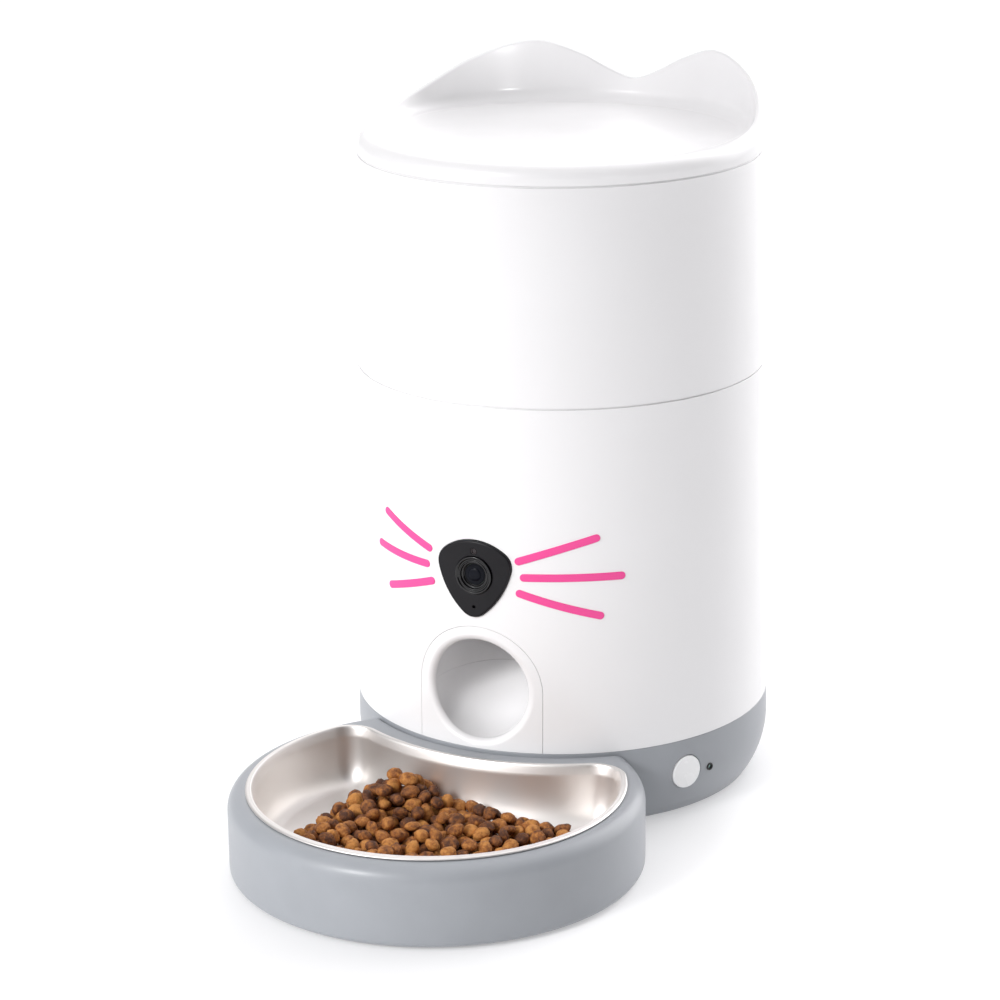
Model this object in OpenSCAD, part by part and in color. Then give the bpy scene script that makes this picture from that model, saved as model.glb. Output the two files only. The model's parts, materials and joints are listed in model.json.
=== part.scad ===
// Automatic pet feeder: round tapered body on a grey base, lift-off hopper,
// lid with a cat-ear wall, metering rotor driven by a geared motor, front chute
// with a camera nose above it, and a crescent bowl tray docked in front.
// Millimetres, +Z up. The origin is on the floor under the middle of the whole object;
// the bowl is towards -Y and the body axis stands at y = axis_y.

/* [Body] */
// Outer radius of the body at the seam between hopper and lower shell
body_r = 100; // [95:1:105]
// Radius lost for each millimetre of height
body_taper = 0.0194; // [0.010:0.0002:0.025]
// Height of the joint between grey base and white shell
base_top = 40.7; // [38:0.1:43]
// Height of the seam where the hopper lifts off
seam_mid = 210.3; // [208:0.1:213]
// Height of the seam under the lid
seam_lid = 314.1; // [312:0.1:318]
// Visible gap at the two seams
seam_gap = 0.7; // [0.4:0.1:1]
// Wall thickness of the outer shells
wall = 2.6; // [2:0.1:3]

/* [Base] */
// Height over which the base curves in to its foot
foot_curve_h = 28; // [24:1:32]
// How far the base curves in at the floor
foot_curve_in = 9.5; // [6:0.5:12]
// Height of the rubber feet
feet_h = 3.2; // [3:0.1:4]
// Bearing of the push button, from the front towards +X
button_bearing = 59; // [55:1:65]
// Height of the push button's centre
button_z = 23.7; // [20:0.1:26]
// Radius of the push button
button_r = 8.3; // [6:0.1:9]
// Travel of the push button
button_travel = 1.2; // [0.8:0.1:1.5]

/* [Bowl] */
// Distance from body axis to bowl centre
bowl_dist = 148.9; // [147:0.1:151]
// Outer radius of the bowl tray
tray_r = 97.8; // [95:0.1:100]
// Height of the bowl tray's top
tray_top = 39.4; // [37:0.1:40]
// Radius of the tray's rounded shoulder
tray_shoulder = 8; // [5:0.5:9]
// Outer radius of the steel bowl's rim
dish_r = 89.3; // [87:0.1:90]
// Radius about the body axis of the steel bowl's back edge
dish_back_r = 114.5; // [113:0.1:117]
// Corner radius of the steel bowl
dish_corner = 16; // [14:0.5:18]
// Inside depth of the steel bowl
dish_depth = 29; // [24:1:31]

/* [Lid] */
// Height of the lid's shoulder above its seam
lid_rise = 9.4; // [8:0.1:11]
// Dish of the lid's top below its shoulder
lid_dish = 2; // [1.8:0.1:2.5]
// Height of the ear tips above the lid's top
ear_rise = 30.8; // [20:0.2:36]
// Height of the dip between the ears above the lid's top
ear_dip = 12.2; // [8:0.2:16]

/* [Chute] */
// Half width of the arched chute panel
arch_r = 32; // [30:0.5:34]
// Height of the chute opening's centre
chute_z = 70; // [68:0.5:73]
// Radius of the chute's scoop
scoop_r = 25.5; // [24:0.1:26]
// Distance of the drop duct from the body axis
duct_dist = 62; // [60:0.5:63]
// Inner radius of the drop duct
duct_r = 20; // [18:0.5:20.5]

/* [Camera] */
// Height of the middle of the nose
cam_z = 126.6; // [124:0.1:130]
// How far the nose plate stands proud of the shell
nose_proud = 1.6; // [1:0.1:2.5]
// Width of a whisker inlay
whisker_w = 3.8; // [2.5:0.1:4.5]

/* [Drive] */
// Gear module
gear_m = 2; // [1.8:0.05:2]
// Teeth on the drive gear
gear_n = 34; // [30:2:34]
// Teeth on the motor pinion
pinion_n = 12; // [12:1:13]
// Width across the flats of the hexagonal dog
dog_af = 16; // [14:0.5:17]
// Number of rotor vanes
vane_n = 6; // [4:1:8]

/* [Hidden] */
$fn = 96;

white = [0.95, 0.95, 0.96];
grey = [0.66, 0.69, 0.73];
black = [0.07, 0.07, 0.08];
pink = [0.93, 0.22, 0.58];
steel = [0.76, 0.74, 0.72];
ivory = [0.90, 0.90, 0.87];
green = [0.08, 0.35, 0.20];
eps = 0.01;
gap = 0.3;

// Radius of the tapered body's outer surface at height z
function r_at(z) = body_r + body_taper * (seam_mid - z);

// Radius of the circular arc that forms the base's foot curve
foot_rho = (foot_curve_h ^ 2 + foot_curve_in ^ 2) / (2 * foot_curve_in);
foot_centre_r = r_at(foot_curve_h) - foot_rho;
base_bottom = 1;
axis_y = (bowl_dist + tray_r - r_at(foot_curve_h)) / 2;

plate_t = 2.5;
plate_r = 92.8;
plate_z = feet_h;
ledge_z = base_top - 2.6;
ledge_inner_r = 78;
base_screw_r = 84;
base_screw_angles = [16, 164, 196, 344];
deck_z = 184;
deck_t = 3;
deck_r = 97.3;
deck_screw_r = 93.4;
gear_z = deck_z + deck_t + 1;
gear_t = 8;
floor_z = 199;
floor_t = 3;
rotor_top = 229;
bin_r = 93.6;
bin_wall = 2.2;
bin_top = 308;
hub_r = 14;
spigot_r = 11.5;
gear_dist = gear_m * (gear_n + pinion_n) / 2;
pressure_angle = 25;
gear_backlash = 0.25;
cell_r = 16.6;
cell_len = 60;
cell_z = feet_h + plate_t + 0.5 + cell_r;
box_x = 53;
box_y0 = -28;
box_y1 = 38;
box_top = cell_z + cell_r + 2.4;
door_t = 1.4;
tray_bottom = 1.2;
tray_back_r = 104.1;
nose_surface_r = r_at(cam_z) + nose_proud;

module at_body() {
    translate([0, axis_y, 0]) children();
}

module at_bowl() {
    translate([0, axis_y - bowl_dist, 0]) children();
}

// Children drawn along +Z are turned to point out of the front, at height z
module facing_front(z) {
    translate([0, 0, z]) rotate([90, 0, 0]) children();
}

// Same, but at a bearing from the front towards +X
module facing_bearing(bearing, z) {
    rotate([0, 0, bearing]) facing_front(z) children();
}

// Ring of the tapered body between two heights and two insets from its surface
module body_ring(z0, z1, outer_inset, inner_inset) {
    rotate_extrude() polygon([
        [r_at(z0) - inner_inset, z0], [r_at(z0) - outer_inset, z0],
        [r_at(z1) - outer_inset, z1], [r_at(z1) - inner_inset, z1]]);
}

module ring(r_out, r_in, z0, z1) {
    translate([0, 0, z0]) difference() {
        cylinder(r = r_out, h = z1 - z0);
        translate([0, 0, -1]) cylinder(r = r_in, h = z1 - z0 + 2);
    }
}

module box(x0, x1, y0, y1, z0, z1) {
    translate([x0, y0, z0]) cube([x1 - x0, y1 - y0, z1 - z0]);
}

module polar(count, radius, start = 0) {
    for (i = [0 : count - 1])
        rotate([0, 0, start + i * 360 / count]) translate([radius, 0, 0]) children();
}

module at_base_screws() {
    for (a = base_screw_angles)
        rotate([0, 0, a]) translate([base_screw_r, 0, 0]) children();
}

// A pan head screw pointing up, head at the bottom
module screw(head_r, head_h, shank_r, shank_l) {
    cylinder(r = head_r, h = head_h);
    translate([0, 0, head_h - eps]) cylinder(r = shank_r, h = shank_l);
}

// ---- Base ----

// Solid half profile of the base, inset from its surface
module base_profile(inset) {
    polygon([[0, foot_curve_h], [r_at(foot_curve_h) - inset, foot_curve_h],
        [r_at(base_top) - inset, base_top], [0, base_top]]);
    translate([0, base_bottom]) square([foot_centre_r, foot_curve_h - base_bottom]);
    intersection() {
        translate([foot_centre_r, foot_curve_h]) circle(r = foot_rho - inset);
        translate([foot_centre_r, base_bottom]) square([foot_rho, foot_curve_h - base_bottom]);
    }
}

module base_body() {
    rotate_extrude() difference() {
        base_profile(0);
        intersection() {
            base_profile(wall);
            square([200, ledge_z]);
        }
        square([ledge_inner_r, base_top + 1]);
        square([plate_r + gap, plate_z + plate_t]);
    }
    at_base_screws() translate([0, 0, plate_z + plate_t])
        cylinder(r = 4.5, h = ledge_z - plate_z - plate_t + 1);
}

// Two hooks hold the bowl tray; the base has a slot for each
hook_x = 26;
hook_w = 14;
hook_z0 = 14;
hook_z1 = 20;
hook_tip_y = -92;

module hook_slots(clear) {
    for (side = [-1, 1])
        box(side * hook_x - hook_w / 2 - clear, side * hook_x + hook_w / 2 + clear,
            -tray_back_r - 2, hook_tip_y + 2, hook_z0 - clear, hook_z1 + clear);
}

inlet_w = 9.6;
inlet_h = 3.8;
inlet_z = 20;

module inlet_outline(w, h) {
    hull() {
        translate([-(w - h) / 2, 0]) circle(d = h);
        translate([(w - h) / 2, 0]) circle(d = h);
    }
}

led_bearing = 67.2;
led_z = 22.6;
led_r = 1.2;

module base_shell() {
    color(grey) at_body() difference() {
        base_body();
        at_base_screws() translate([0, 0, plate_z + plate_t - 1]) cylinder(r = 1.5, h = 20);
        facing_bearing(button_bearing, button_z) translate([0, 0, 90])
            cylinder(r = button_r + 0.3, h = 20);
        facing_bearing(led_bearing, led_z) translate([0, 0, 90]) cylinder(r = led_r, h = 20);
        hook_slots(0.6);
        facing_bearing(180, inlet_z) translate([0, 0, 90]) linear_extrude(20)
            inlet_outline(inlet_w + 0.4, inlet_h + 0.4);
    }
}

speaker_y = -58;

module bottom_plate() {
    color(grey) at_body() difference() {
        translate([0, 0, plate_z]) cylinder(r = plate_r, h = plate_t);
        box(-box_x + 2, box_x - 2, box_y0 + 1, box_y1 - 0.5, 0, 10);
        at_base_screws() cylinder(r = 1.7, h = 20);
        at_base_screws() cylinder(r = 3.4, h = plate_z + 1.8);
        translate([0, speaker_y, 0]) {
            cylinder(r = 1.2, h = 20);
            polar(6, 6) cylinder(r = 1.2, h = 20);
        }
    }
}

feet_bearing = 52;
feet_dist = 79;
feet_r = 7.5;

module rubber_feet() {
    color(black) at_body()
        for (a = [feet_bearing, 180 - feet_bearing, 180 + feet_bearing, -feet_bearing])
            rotate([0, 0, a]) translate([feet_dist, 0, 0]) cylinder(r = feet_r, h = feet_h);
}

module base_screws() {
    color(steel) at_body() at_base_screws() translate([0, 0, plate_z + 0.2])
        screw(3.1, 1.6, 1.45, 14);
}

module battery_box() {
    color(black) at_body() difference() {
        box(-box_x, box_x, box_y0, box_y1, plate_z + plate_t, box_top);
        box(-box_x + 1.8, box_x - 1.8, box_y0 + 1.8, box_y1 - 1.8, 0, box_top - 1.8);
    }
}

module battery_cells() {
    color("goldenrod") at_body()
        for (i = [-1, 0, 1])
            translate([i * (2 * cell_r + 0.8), box_y0 + 3, cell_z]) rotate([-90, 0, 0]) {
                cylinder(r = cell_r, h = cell_len - 2.5);
                cylinder(r = 4.5, h = cell_len - 1);
            }
}

// Flat end plates and their pressed domes, one pair for each cell
module battery_contacts() {
    color(steel) at_body()
        for (i = [-1, 0, 1]) {
            x = i * (2 * cell_r + 0.8);
            box(x - 9, x + 9, box_y0 + 1.8, box_y0 + 2.4, cell_z - 9, cell_z + 9);
            box(x - 9, x + 9, box_y1 - 2.4, box_y1 - 1.8, cell_z - 9, cell_z + 9);
            translate([x, box_y1 - 2.4, cell_z]) rotate([90, 0, 0]) cylinder(r = 6, h = 0.5);
        }
}

module battery_door() {
    color(grey) at_body() difference() {
        union() {
            box(-54, 54, box_y0 - 4, box_y1 + 2, plate_z - door_t - 0.1, plate_z - 0.1);
            for (side = [-1, 1])
                box(side * 46 - 1, side * 46 + 1, box_y0 + 4, box_y1 - 12, plate_z - 0.2, plate_z + 2);
        }
        for (i = [0 : 4])
            box(-14, 14, box_y0 + 4 + i * 3, box_y0 + 5.2 + i * 3, 0, plate_z - door_t + 0.4);
    }
}

// ---- Lower shell, chute and nose ----

// Outline of the arched panel, seen from the front, grown by extra
module arch_outline(extra) {
    translate([0, chute_z]) circle(r = arch_r + extra);
    translate([-arch_r - extra, base_top - 3]) square([2 * (arch_r + extra), chute_z - base_top + 3]);
}

module front_prism(depth0 = 80, depth1 = 120) {
    rotate([90, 0, 0]) translate([0, 0, depth0]) linear_extrude(depth1 - depth0) children();
}

nose_half = 11.2;
nose_corner_z = cam_z + 6.2;
nose_tip_z = cam_z - 11.2;
nose_round = 8.3;
nose_x = -0.7;

// Curved triangle through three corners, its sides bowed outwards
module nose_outline(extra) {
    top_rho = 18.1;
    side_rho = 31.7;
    side = [nose_half, nose_corner_z] - [0, nose_tip_z];
    side_len = norm(side);
    side_mid = [nose_half / 2, (nose_corner_z + nose_tip_z) / 2];
    side_in = [-side[1], side[0]] / side_len * sqrt(side_rho ^ 2 - side_len ^ 2 / 4);
    translate([nose_x, 0]) offset(r = nose_round + extra) intersection() {
        translate([0, nose_corner_z - sqrt(top_rho ^ 2 - nose_half ^ 2)]) circle(r = top_rho);
        translate(side_mid + side_in) circle(r = side_rho);
        mirror([1, 0]) translate(side_mid + side_in) circle(r = side_rho);
    }
}

module lower_shell() {
    top = seam_mid - seam_gap / 2;
    color(white) at_body() {
        difference() {
            union() {
                body_ring(base_top, top, 0, wall);
                body_ring(base_top, base_top + 3, wall - eps, wall + 3);
                intersection() {
                    polar(4, deck_screw_r, 45) translate([0, 0, 150]) cylinder(r = 6.4, h = deck_z - 150);
                    body_ring(140, 190, wall - 1, 20);
                }
            }
            front_prism() arch_outline(0.25);
            front_prism() nose_outline(0.2);
            polar(4, deck_screw_r, 45) translate([0, 0, deck_z - 16]) cylinder(r = 1.5, h = 20);
        }
    }
}

module chute_panel() {
    color(white) at_body() difference() {
        intersection() {
            body_ring(base_top, chute_z + arch_r + 3, 0, wall);
            front_prism() arch_outline(0);
        }
        front_prism() translate([0, chute_z]) circle(r = scoop_r - 0.5);
        facing_front(chute_z) translate([0, 0, 98]) cylinder(r1 = scoop_r - 3, r2 = scoop_r + 4.5, h = 7);
    }
}

scoop_dist = 95;
scoop_end_z = 100;
scoop_wall = 2;

// Capsule that runs from the chute opening up and back to the drop duct
module scoop_capsule(r) {
    hull() {
        translate([0, -scoop_dist, chute_z]) sphere(r = r, $fn = 36);
        translate([0, -duct_dist, scoop_end_z]) sphere(r = r, $fn = 36);
    }
}

module scoop_shell(z0, z1) {
    difference() {
        intersection() {
            scoop_capsule(scoop_r + scoop_wall);
            rotate_extrude() polygon([[20, z0], [r_at(z0) - wall - 0.05, z0],
                [r_at(z1) - wall - 0.05, z1], [20, z1]]);
        }
        scoop_capsule(scoop_r);
        translate([0, -duct_dist, scoop_end_z + 12]) cylinder(r = duct_r + scoop_wall, h = 40);
    }
}

module scoop_lower() {
    color(white) at_body() scoop_shell(chute_z - 30, chute_z - 0.1);
}

module scoop_upper() {
    color(white) at_body() scoop_shell(chute_z + 0.1, scoop_end_z + 30);
}

module chute_duct() {
    color(ivory) at_body() translate([0, -duct_dist, 0])
        ring(duct_r + scoop_wall, duct_r, scoop_end_z + 12, deck_z);
}

module deck_plate() {
    color(ivory) at_body() difference() {
        union() {
            translate([0, 0, deck_z]) cylinder(r = deck_r, h = deck_t);
            ring(89, 86, deck_z + deck_t - eps, floor_z - gap);
        }
        translate([0, -duct_dist, deck_z - 1]) cylinder(r = duct_r, h = 30);
        translate([0, gear_dist, deck_z - 1]) cylinder(r = 5, h = 10);
        translate([0, 0, deck_z - 1]) cylinder(r = 3, h = 10);
        polar(4, deck_screw_r, 45) translate([0, 0, deck_z - 1]) cylinder(r = 1.7, h = 10);
        for (side = [-1, 1])
            translate([side * motor_ear_x, gear_dist, deck_z - 1]) cylinder(r = 1.7, h = 10);
    }
}

module deck_screws() {
    color(steel) at_body() polar(4, deck_screw_r, 45)
        translate([0, 0, deck_z + deck_t + 1.8]) mirror([0, 0, 1]) screw(3.1, 1.8, 1.45, 14);
}

cam_ring_r = 9.3;
lens_z = cam_z + 1.5;
sensor_r = 1.5;
sensor_z = cam_z + 13.2;
mic_z = cam_z - 14.2;

module facing_nose(z) {
    translate([nose_x, 0, 0]) facing_front(z) children();
}

module nose_plate() {
    color(black) at_body() difference() {
        intersection() {
            body_ring(cam_z - 30, cam_z + 30, -nose_proud, wall);
            front_prism() nose_outline(0);
        }
        facing_nose(lens_z) translate([0, 0, 80]) cylinder(r = cam_ring_r + 0.1, h = 40);
        facing_nose(sensor_z) translate([0, 0, 80]) cylinder(r = sensor_r + 0.1, h = 40);
        facing_nose(mic_z) translate([0, 0, 80]) cylinder(r = 0.8, h = 40);
    }
}

module camera_ring() {
    color([0.16, 0.16, 0.17]) at_body() facing_nose(lens_z) {
        ring(cam_ring_r, 6.6, nose_surface_r - 4, nose_surface_r + 0.8);
        ring(6.7, 5.2, nose_surface_r - 4, nose_surface_r - 1.2);
    }
}

// Domed glass in front of the lens barrel
module camera_lens() {
    dome = 9;
    color([0.10, 0.12, 0.16]) at_body() facing_nose(lens_z) intersection() {
        translate([0, 0, nose_surface_r - 0.4 - dome]) sphere(r = dome);
        translate([0, 0, nose_surface_r - 3.8]) cylinder(r = 5.1, h = 6);
    }
}

module camera_module() {
    color(green) at_body() facing_nose(lens_z) {
        translate([-12, -12, 90]) cube([24, 24, 1.6]);
        translate([0, 0, 91]) cylinder(r = 6.4, h = nose_surface_r - 5 - 91);
    }
}

module light_sensor() {
    color([0.25, 0.08, 0.10]) at_body() facing_nose(sensor_z)
        translate([0, 0, 95]) cylinder(r = sensor_r, h = nose_surface_r - 0.6 - 95);
}

module microphone() {
    color(steel) at_body() facing_nose(mic_z)
        translate([0, 0, 94.5]) cylinder(r = 3, h = 3);
}

// Points of a whisker's centre line: arc length from the nose, height
function whisker_mid(s0, z0, s1, z1, bow, t) =
    [s0 + (s1 - s0) * t, z0 + (z1 - z0) * t + bow * 4 * t * (1 - t)];

// Arc length on the shell turned into distance to the side
function arc_to_x(p) = [r_at(p[1]) * sin(p[0] / r_at(p[1]) * 180 / PI), p[1]];

module whisker_outline(s0, z0, s1, z1, bow) {
    steps = 10;
    half = whisker_w / 2;
    turn = [for (i = [0 : steps]) let (
        a = whisker_mid(s0, z0, s1, z1, bow, i / steps - 0.01),
        b = whisker_mid(s0, z0, s1, z1, bow, i / steps + 0.01)) atan2(b[1] - a[1], b[0] - a[0])];
    function side(i, sign) = whisker_mid(s0, z0, s1, z1, bow, i / steps)
        + half * sign * [-sin(turn[i]), cos(turn[i])];
    function tip(i, a) = whisker_mid(s0, z0, s1, z1, bow, i / steps)
        + half * [cos(turn[i] + a), sin(turn[i] + a)];
    polygon([for (p = concat(
        [for (i = [0 : steps]) side(i, -1)],
        [for (a = [-60 : 30 : 60]) tip(steps, a)],
        [for (i = [steps : -1 : 0]) side(i, 1)],
        [for (a = [120 : 30 : 240]) tip(0, a)])) arc_to_x(p)]);
}

// Ends of each whisker and its bow: arc length, height, arc length, height, bow
whiskers_right = [[21, 9.9, 57.7, 21.4, 0.3], [23.5, 2, 70, 2.2, 0.2], [21.5, -5.9, 59.8, -16.8, -0.3]];
whiskers_left = [[26.4, 10.5, 57.1, 22.1, -0.2], [28, 2.4, 63.5, 4.7, -0.4], [25, -5.6, 54.2, -14.3, -0.2]];

module whiskers() {
    color(pink) at_body() intersection() {
        body_ring(cam_z - 30, cam_z + 40, -0.45, -0.03);
        front_prism(60, 120) {
            for (w = whiskers_right) whisker_outline(w[0], cam_z + w[1], w[2], cam_z + w[3], w[4]);
            mirror([1, 0]) for (w = whiskers_left)
                whisker_outline(w[0], cam_z + w[1], w[2], cam_z + w[3], w[4]);
        }
    }
}

// ---- Electronics and drive ----

board_z = box_top + 3;
board_t = 1.6;
board_hole_x = 36;
board_hole_y = [-8, 32];

module at_board_holes() {
    for (x = [-board_hole_x, board_hole_x], y = board_hole_y)
        translate([x, y, 0]) children();
}

module main_board() {
    color(green) at_body() {
        difference() {
            box(-40, 40, -12, 36, board_z, board_z + board_t);
            at_board_holes() translate([0, 0, board_z - 1]) cylinder(r = 1.7, h = 4);
        }
        box(-31, -19, 18, 30, board_z + 1.5, board_z + 9);
        box(22, 34, 8, 26, board_z + 1.5, board_z + 6);
        box(-8, 4, 4, 16, board_z + 1.5, board_z + 3);
        for (i = [0 : 3])
            translate([-30 + i * 7, 0, board_z + 1.5]) cylinder(r = 2.8, h = 7);
        at_board_holes() ring(3.2, 1.7, box_top, board_z + eps);
    }
}

module wifi_module() {
    color(steel) at_body() box(6, 20, -10, 2, board_z + board_t, board_z + board_t + 3);
}

module board_screws() {
    color(steel) at_body() at_board_holes()
        translate([0, 0, board_z + 2 * board_t]) mirror([0, 0, 1]) screw(3, 1.6, 1.5, 4);
}

module speaker() {
    color(black) at_body() translate([0, speaker_y, plate_z + plate_t]) difference() {
        union() {
            cylinder(r = 16, h = 4);
            translate([0, 0, 4 - eps]) cylinder(r = 9, h = 4);
        }
        translate([0, 0, -1]) cylinder(r = 13, h = 2.6);
    }
}

shaft_r = 3;
gearbox_r = 18;
gearbox_z = 160;
motor_r = 12;
motor_ear_x = 23;

// Gearbox on top, motor can below it, and the can's end boss
module gear_motor() {
    color(steel) at_body() translate([0, gear_dist, 0]) difference() {
        union() {
            translate([0, 0, gearbox_z]) cylinder(r = gearbox_r, h = deck_z - gearbox_z);
            translate([0, 0, gearbox_z - 30]) cylinder(r = motor_r, h = 31);
            translate([0, 0, gearbox_z - 33]) cylinder(r = 4, h = 4);
        }
        translate([0, 0, deck_z - 10]) cylinder(r = shaft_r + 0.05, h = 20);
    }
}

bracket_top = gearbox_z - 0.1;
bracket_z = bracket_top - 2.1;

module motor_bracket() {
    color(steel) at_body() translate([0, gear_dist, 0]) difference() {
        union() {
            ring(gearbox_r + 4, motor_r + 0.3, bracket_z, bracket_top);
            for (side = [-1, 1]) {
                box(side * motor_ear_x - 5, side * motor_ear_x + 5, -5, 5, bracket_z, bracket_top);
                translate([side * motor_ear_x, 0, bracket_top - 0.1])
                    cylinder(r = 3.4, h = deck_z - bracket_top + 0.1);
            }
        }
        for (side = [-1, 1])
            translate([side * motor_ear_x, 0, 150]) cylinder(r = 1.7, h = 40);
        translate([0, 0, 150]) cylinder(r = motor_r + 0.3, h = 9.95);
        translate([0, 0, bracket_top]) cylinder(r = gearbox_r + 0.1, h = 30);
    }
}

module motor_screws() {
    color(steel) at_body() for (side = [-1, 1])
        translate([side * motor_ear_x, gear_dist, bracket_z - 1.8]) screw(3.1, 1.8, 1.45, 32);
}

module gear_axle() {
    color(steel) at_body() translate([0, 0, deck_z - 3]) {
        cylinder(r = 5, h = 3);
        cylinder(r = shaft_r, h = 3 + deck_t + gear_t + 8);
    }
}

module power_inlet() {
    color(black) at_body() facing_bearing(180, inlet_z) difference() {
        union() {
            translate([0, 0, 91]) linear_extrude(10.2) inlet_outline(inlet_w, inlet_h);
            translate([-8, -5, 84]) cube([16, 10, 7.5]);
        }
        translate([0, 0, 93]) linear_extrude(12) inlet_outline(8.6, 2.8);
    }
}

module status_led() {
    color([0.5, 0.8, 0.7]) at_body() facing_bearing(led_bearing, led_z)
        translate([0, 0, 94]) cylinder(r = led_r - 0.1, h = 8.6);
}

button_face_r = r_at(button_z) - 0.25;

module button_switch() {
    color(green) at_body() facing_bearing(button_bearing, button_z) {
        translate([-11, -9, 89]) cube([22, 18, 1.6]);
        translate([-3, -3, 90.5]) cube([6, 6, 3]);
    }
}

module button_cap() {
    color(white) at_body() facing_bearing(button_bearing, button_z) {
        translate([0, 0, 97]) cylinder(r = button_r, h = button_face_r - 97);
        translate([0, 0, 96.2]) cylinder(r = button_r + 1.6, h = 1.4);
        translate([0, 0, 94.9]) cylinder(r = 3, h = 2);
    }
}

// Involute point on a base circle of radius rb at roll angle t
function involute(rb, t) =
    [rb * (cos(t) + t * PI / 180 * sin(t)), rb * (sin(t) - t * PI / 180 * cos(t))];

function turned(p, a) = [p[0] * cos(a) - p[1] * sin(a), p[0] * sin(a) + p[1] * cos(a)];

// Roll angle at which the involute reaches radius r
function roll_at(rb, r) = sqrt(max((r / rb) ^ 2 - 1, 0)) * 180 / PI;

module spur_gear(n, backlash) {
    rp = gear_m * n / 2;
    rb = rp * cos(pressure_angle);
    tip = rp + 0.9 * gear_m;
    root = rp - 1.2 * gear_m;
    inv = tan(pressure_angle) * 180 / PI - pressure_angle;
    half = 90 / n + inv - backlash / rp * 180 / PI / 2;
    steps = 5;
    t1 = roll_at(rb, tip);
    t0 = roll_at(rb, max(rb, root));
    flank = [for (i = [0 : steps]) involute(rb, t0 + (t1 - t0) * i / steps)];
    polygon([for (k = [0 : n - 1]) for (p = concat(
        [turned([root, 0], -half)],
        [for (q = flank) turned(q, -half)],
        [for (i = [steps : -1 : 0]) turned([flank[i][0], -flank[i][1]], half)],
        [turned([root, 0], half)])) turned(p, k * 360 / n)]);
}

// A gap of the drive gear faces the pinion, and a tooth of the pinion stands in it
gear_turn = 90 + 180 / gear_n;
pinion_turn = -90;

module drive_gear() {
    color(ivory) at_body() difference() {
        union() {
            translate([0, 0, gear_z]) linear_extrude(gear_t)
                rotate(gear_turn) spur_gear(gear_n, gear_backlash);
            translate([0, 0, gear_z + gear_t - eps]) cylinder(r = dog_af / 2 / cos(30), h = 14.5, $fn = 6);
        }
        translate([0, 0, gear_z - 1]) cylinder(r = shaft_r + 0.05, h = 18.5);
        for (i = [0 : 5])
            rotate([0, 0, i * 60]) translate([20, 0, gear_z - 1]) cylinder(r = 5.5, h = 20);
    }
}

module motor_pinion() {
    color(steel) at_body() translate([0, gear_dist, 0]) {
        translate([0, 0, gear_z]) linear_extrude(gear_t)
            rotate(pinion_turn) spur_gear(pinion_n, gear_backlash);
        translate([0, 0, deck_z - 8]) cylinder(r = shaft_r, h = gear_z + gear_t - deck_z + 9);
    }
}

// ---- Hopper ----

module hopper_shell() {
    bottom = seam_mid + seam_gap / 2;
    top = seam_lid - seam_gap / 2;
    color(white) at_body() {
        body_ring(bottom, top, 0, wall);
        rotate_extrude() polygon([[bin_r + 0.1, bottom + 2], [r_at(bottom) - wall + eps, bottom + 2],
            [r_at(bottom) - wall + eps, bottom + 5], [bin_r + 0.1, bottom + 5]]);
    }
}

module hopper_bin() {
    color(ivory) at_body() {
        ring(bin_r, bin_r - bin_wall, floor_z + floor_t, bin_top);
        ring(r_at(bin_top) - wall - 0.1, bin_r - 0.1, bin_top - 2.5, bin_top);
    }
}

module hopper_floor() {
    color(ivory) at_body() difference() {
        translate([0, 0, floor_z]) cylinder(r = 96.4, h = floor_t);
        translate([0, 0, floor_z - 1]) cylinder(r = spigot_r + 2.05, h = 10);
        translate([0, -duct_dist, floor_z - 1]) cylinder(r = duct_r, h = 10);
    }
}

module portion_cover() {
    half = 38;
    far = 200;
    color(ivory) at_body() difference() {
        ring(bin_r - bin_wall - 0.05, 20, rotor_top + 2, rotor_top + 4);
        linear_extrude(300) polygon([[0, 0], far * [sin(half), -cos(half)], [far, far],
            [-far, far], far * [-sin(half), -cos(half)]]);
    }
}

module hub_bush() {
    color("peru") at_body() ring(spigot_r + 2, spigot_r + 0.05, floor_z - 0.2, floor_z + floor_t);
}

module rotor() {
    socket_r = (dog_af + 0.6) / 2 / cos(30);
    color([0.80, 0.82, 0.84]) at_body() difference() {
        union() {
            translate([0, 0, floor_z]) cylinder(r = spigot_r, h = 5);
            translate([0, 0, floor_z + floor_t + gap]) cylinder(r = hub_r, h = rotor_top - floor_z - floor_t - gap);
            for (i = [0 : vane_n - 1])
                rotate([0, 0, i * 360 / vane_n])
                    box(hub_r - 1, 85, -1.2, 1.2, floor_z + floor_t + 0.6, rotor_top);
        }
        translate([0, 0, floor_z - 1]) cylinder(r = socket_r, h = 16, $fn = 6);
    }
}

// Soft edges on the vane tips, each slotted over its vane
module wiper_blades() {
    color(black) at_body()
        for (i = [0 : vane_n - 1])
            rotate([0, 0, i * 360 / vane_n]) difference() {
                box(79, 90.4, -2.4, 2.4, floor_z + floor_t + 0.8, rotor_top - 0.2);
                box(78, 85.05, -1.25, 1.25, floor_z, rotor_top + 1);
            }
}

// Cone with two rounded arms that stirs the food
module agitator() {
    cone_h = 14;
    tip_r = 5;
    arm_r = 2.4;
    arm_l = 42;
    color([0.80, 0.82, 0.84]) at_body() translate([0, 0, rotor_top]) {
        cylinder(r1 = hub_r, r2 = tip_r, h = cone_h);
        translate([0, 0, cone_h - 1]) sphere(r = tip_r + 0.2);
        for (side = [0, 180])
            rotate([0, 0, side]) translate([3, 0, 8.5]) rotate([0, 90, 0]) {
                cylinder(r = arm_r, h = arm_l);
                translate([0, 0, arm_l]) sphere(r = arm_r);
            }
    }
}

// ---- Lid ----

lid_base = seam_lid + seam_gap / 2;
lid_flat = seam_lid + lid_rise - lid_dish;
lid_under = lid_flat - 2.6;

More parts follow.
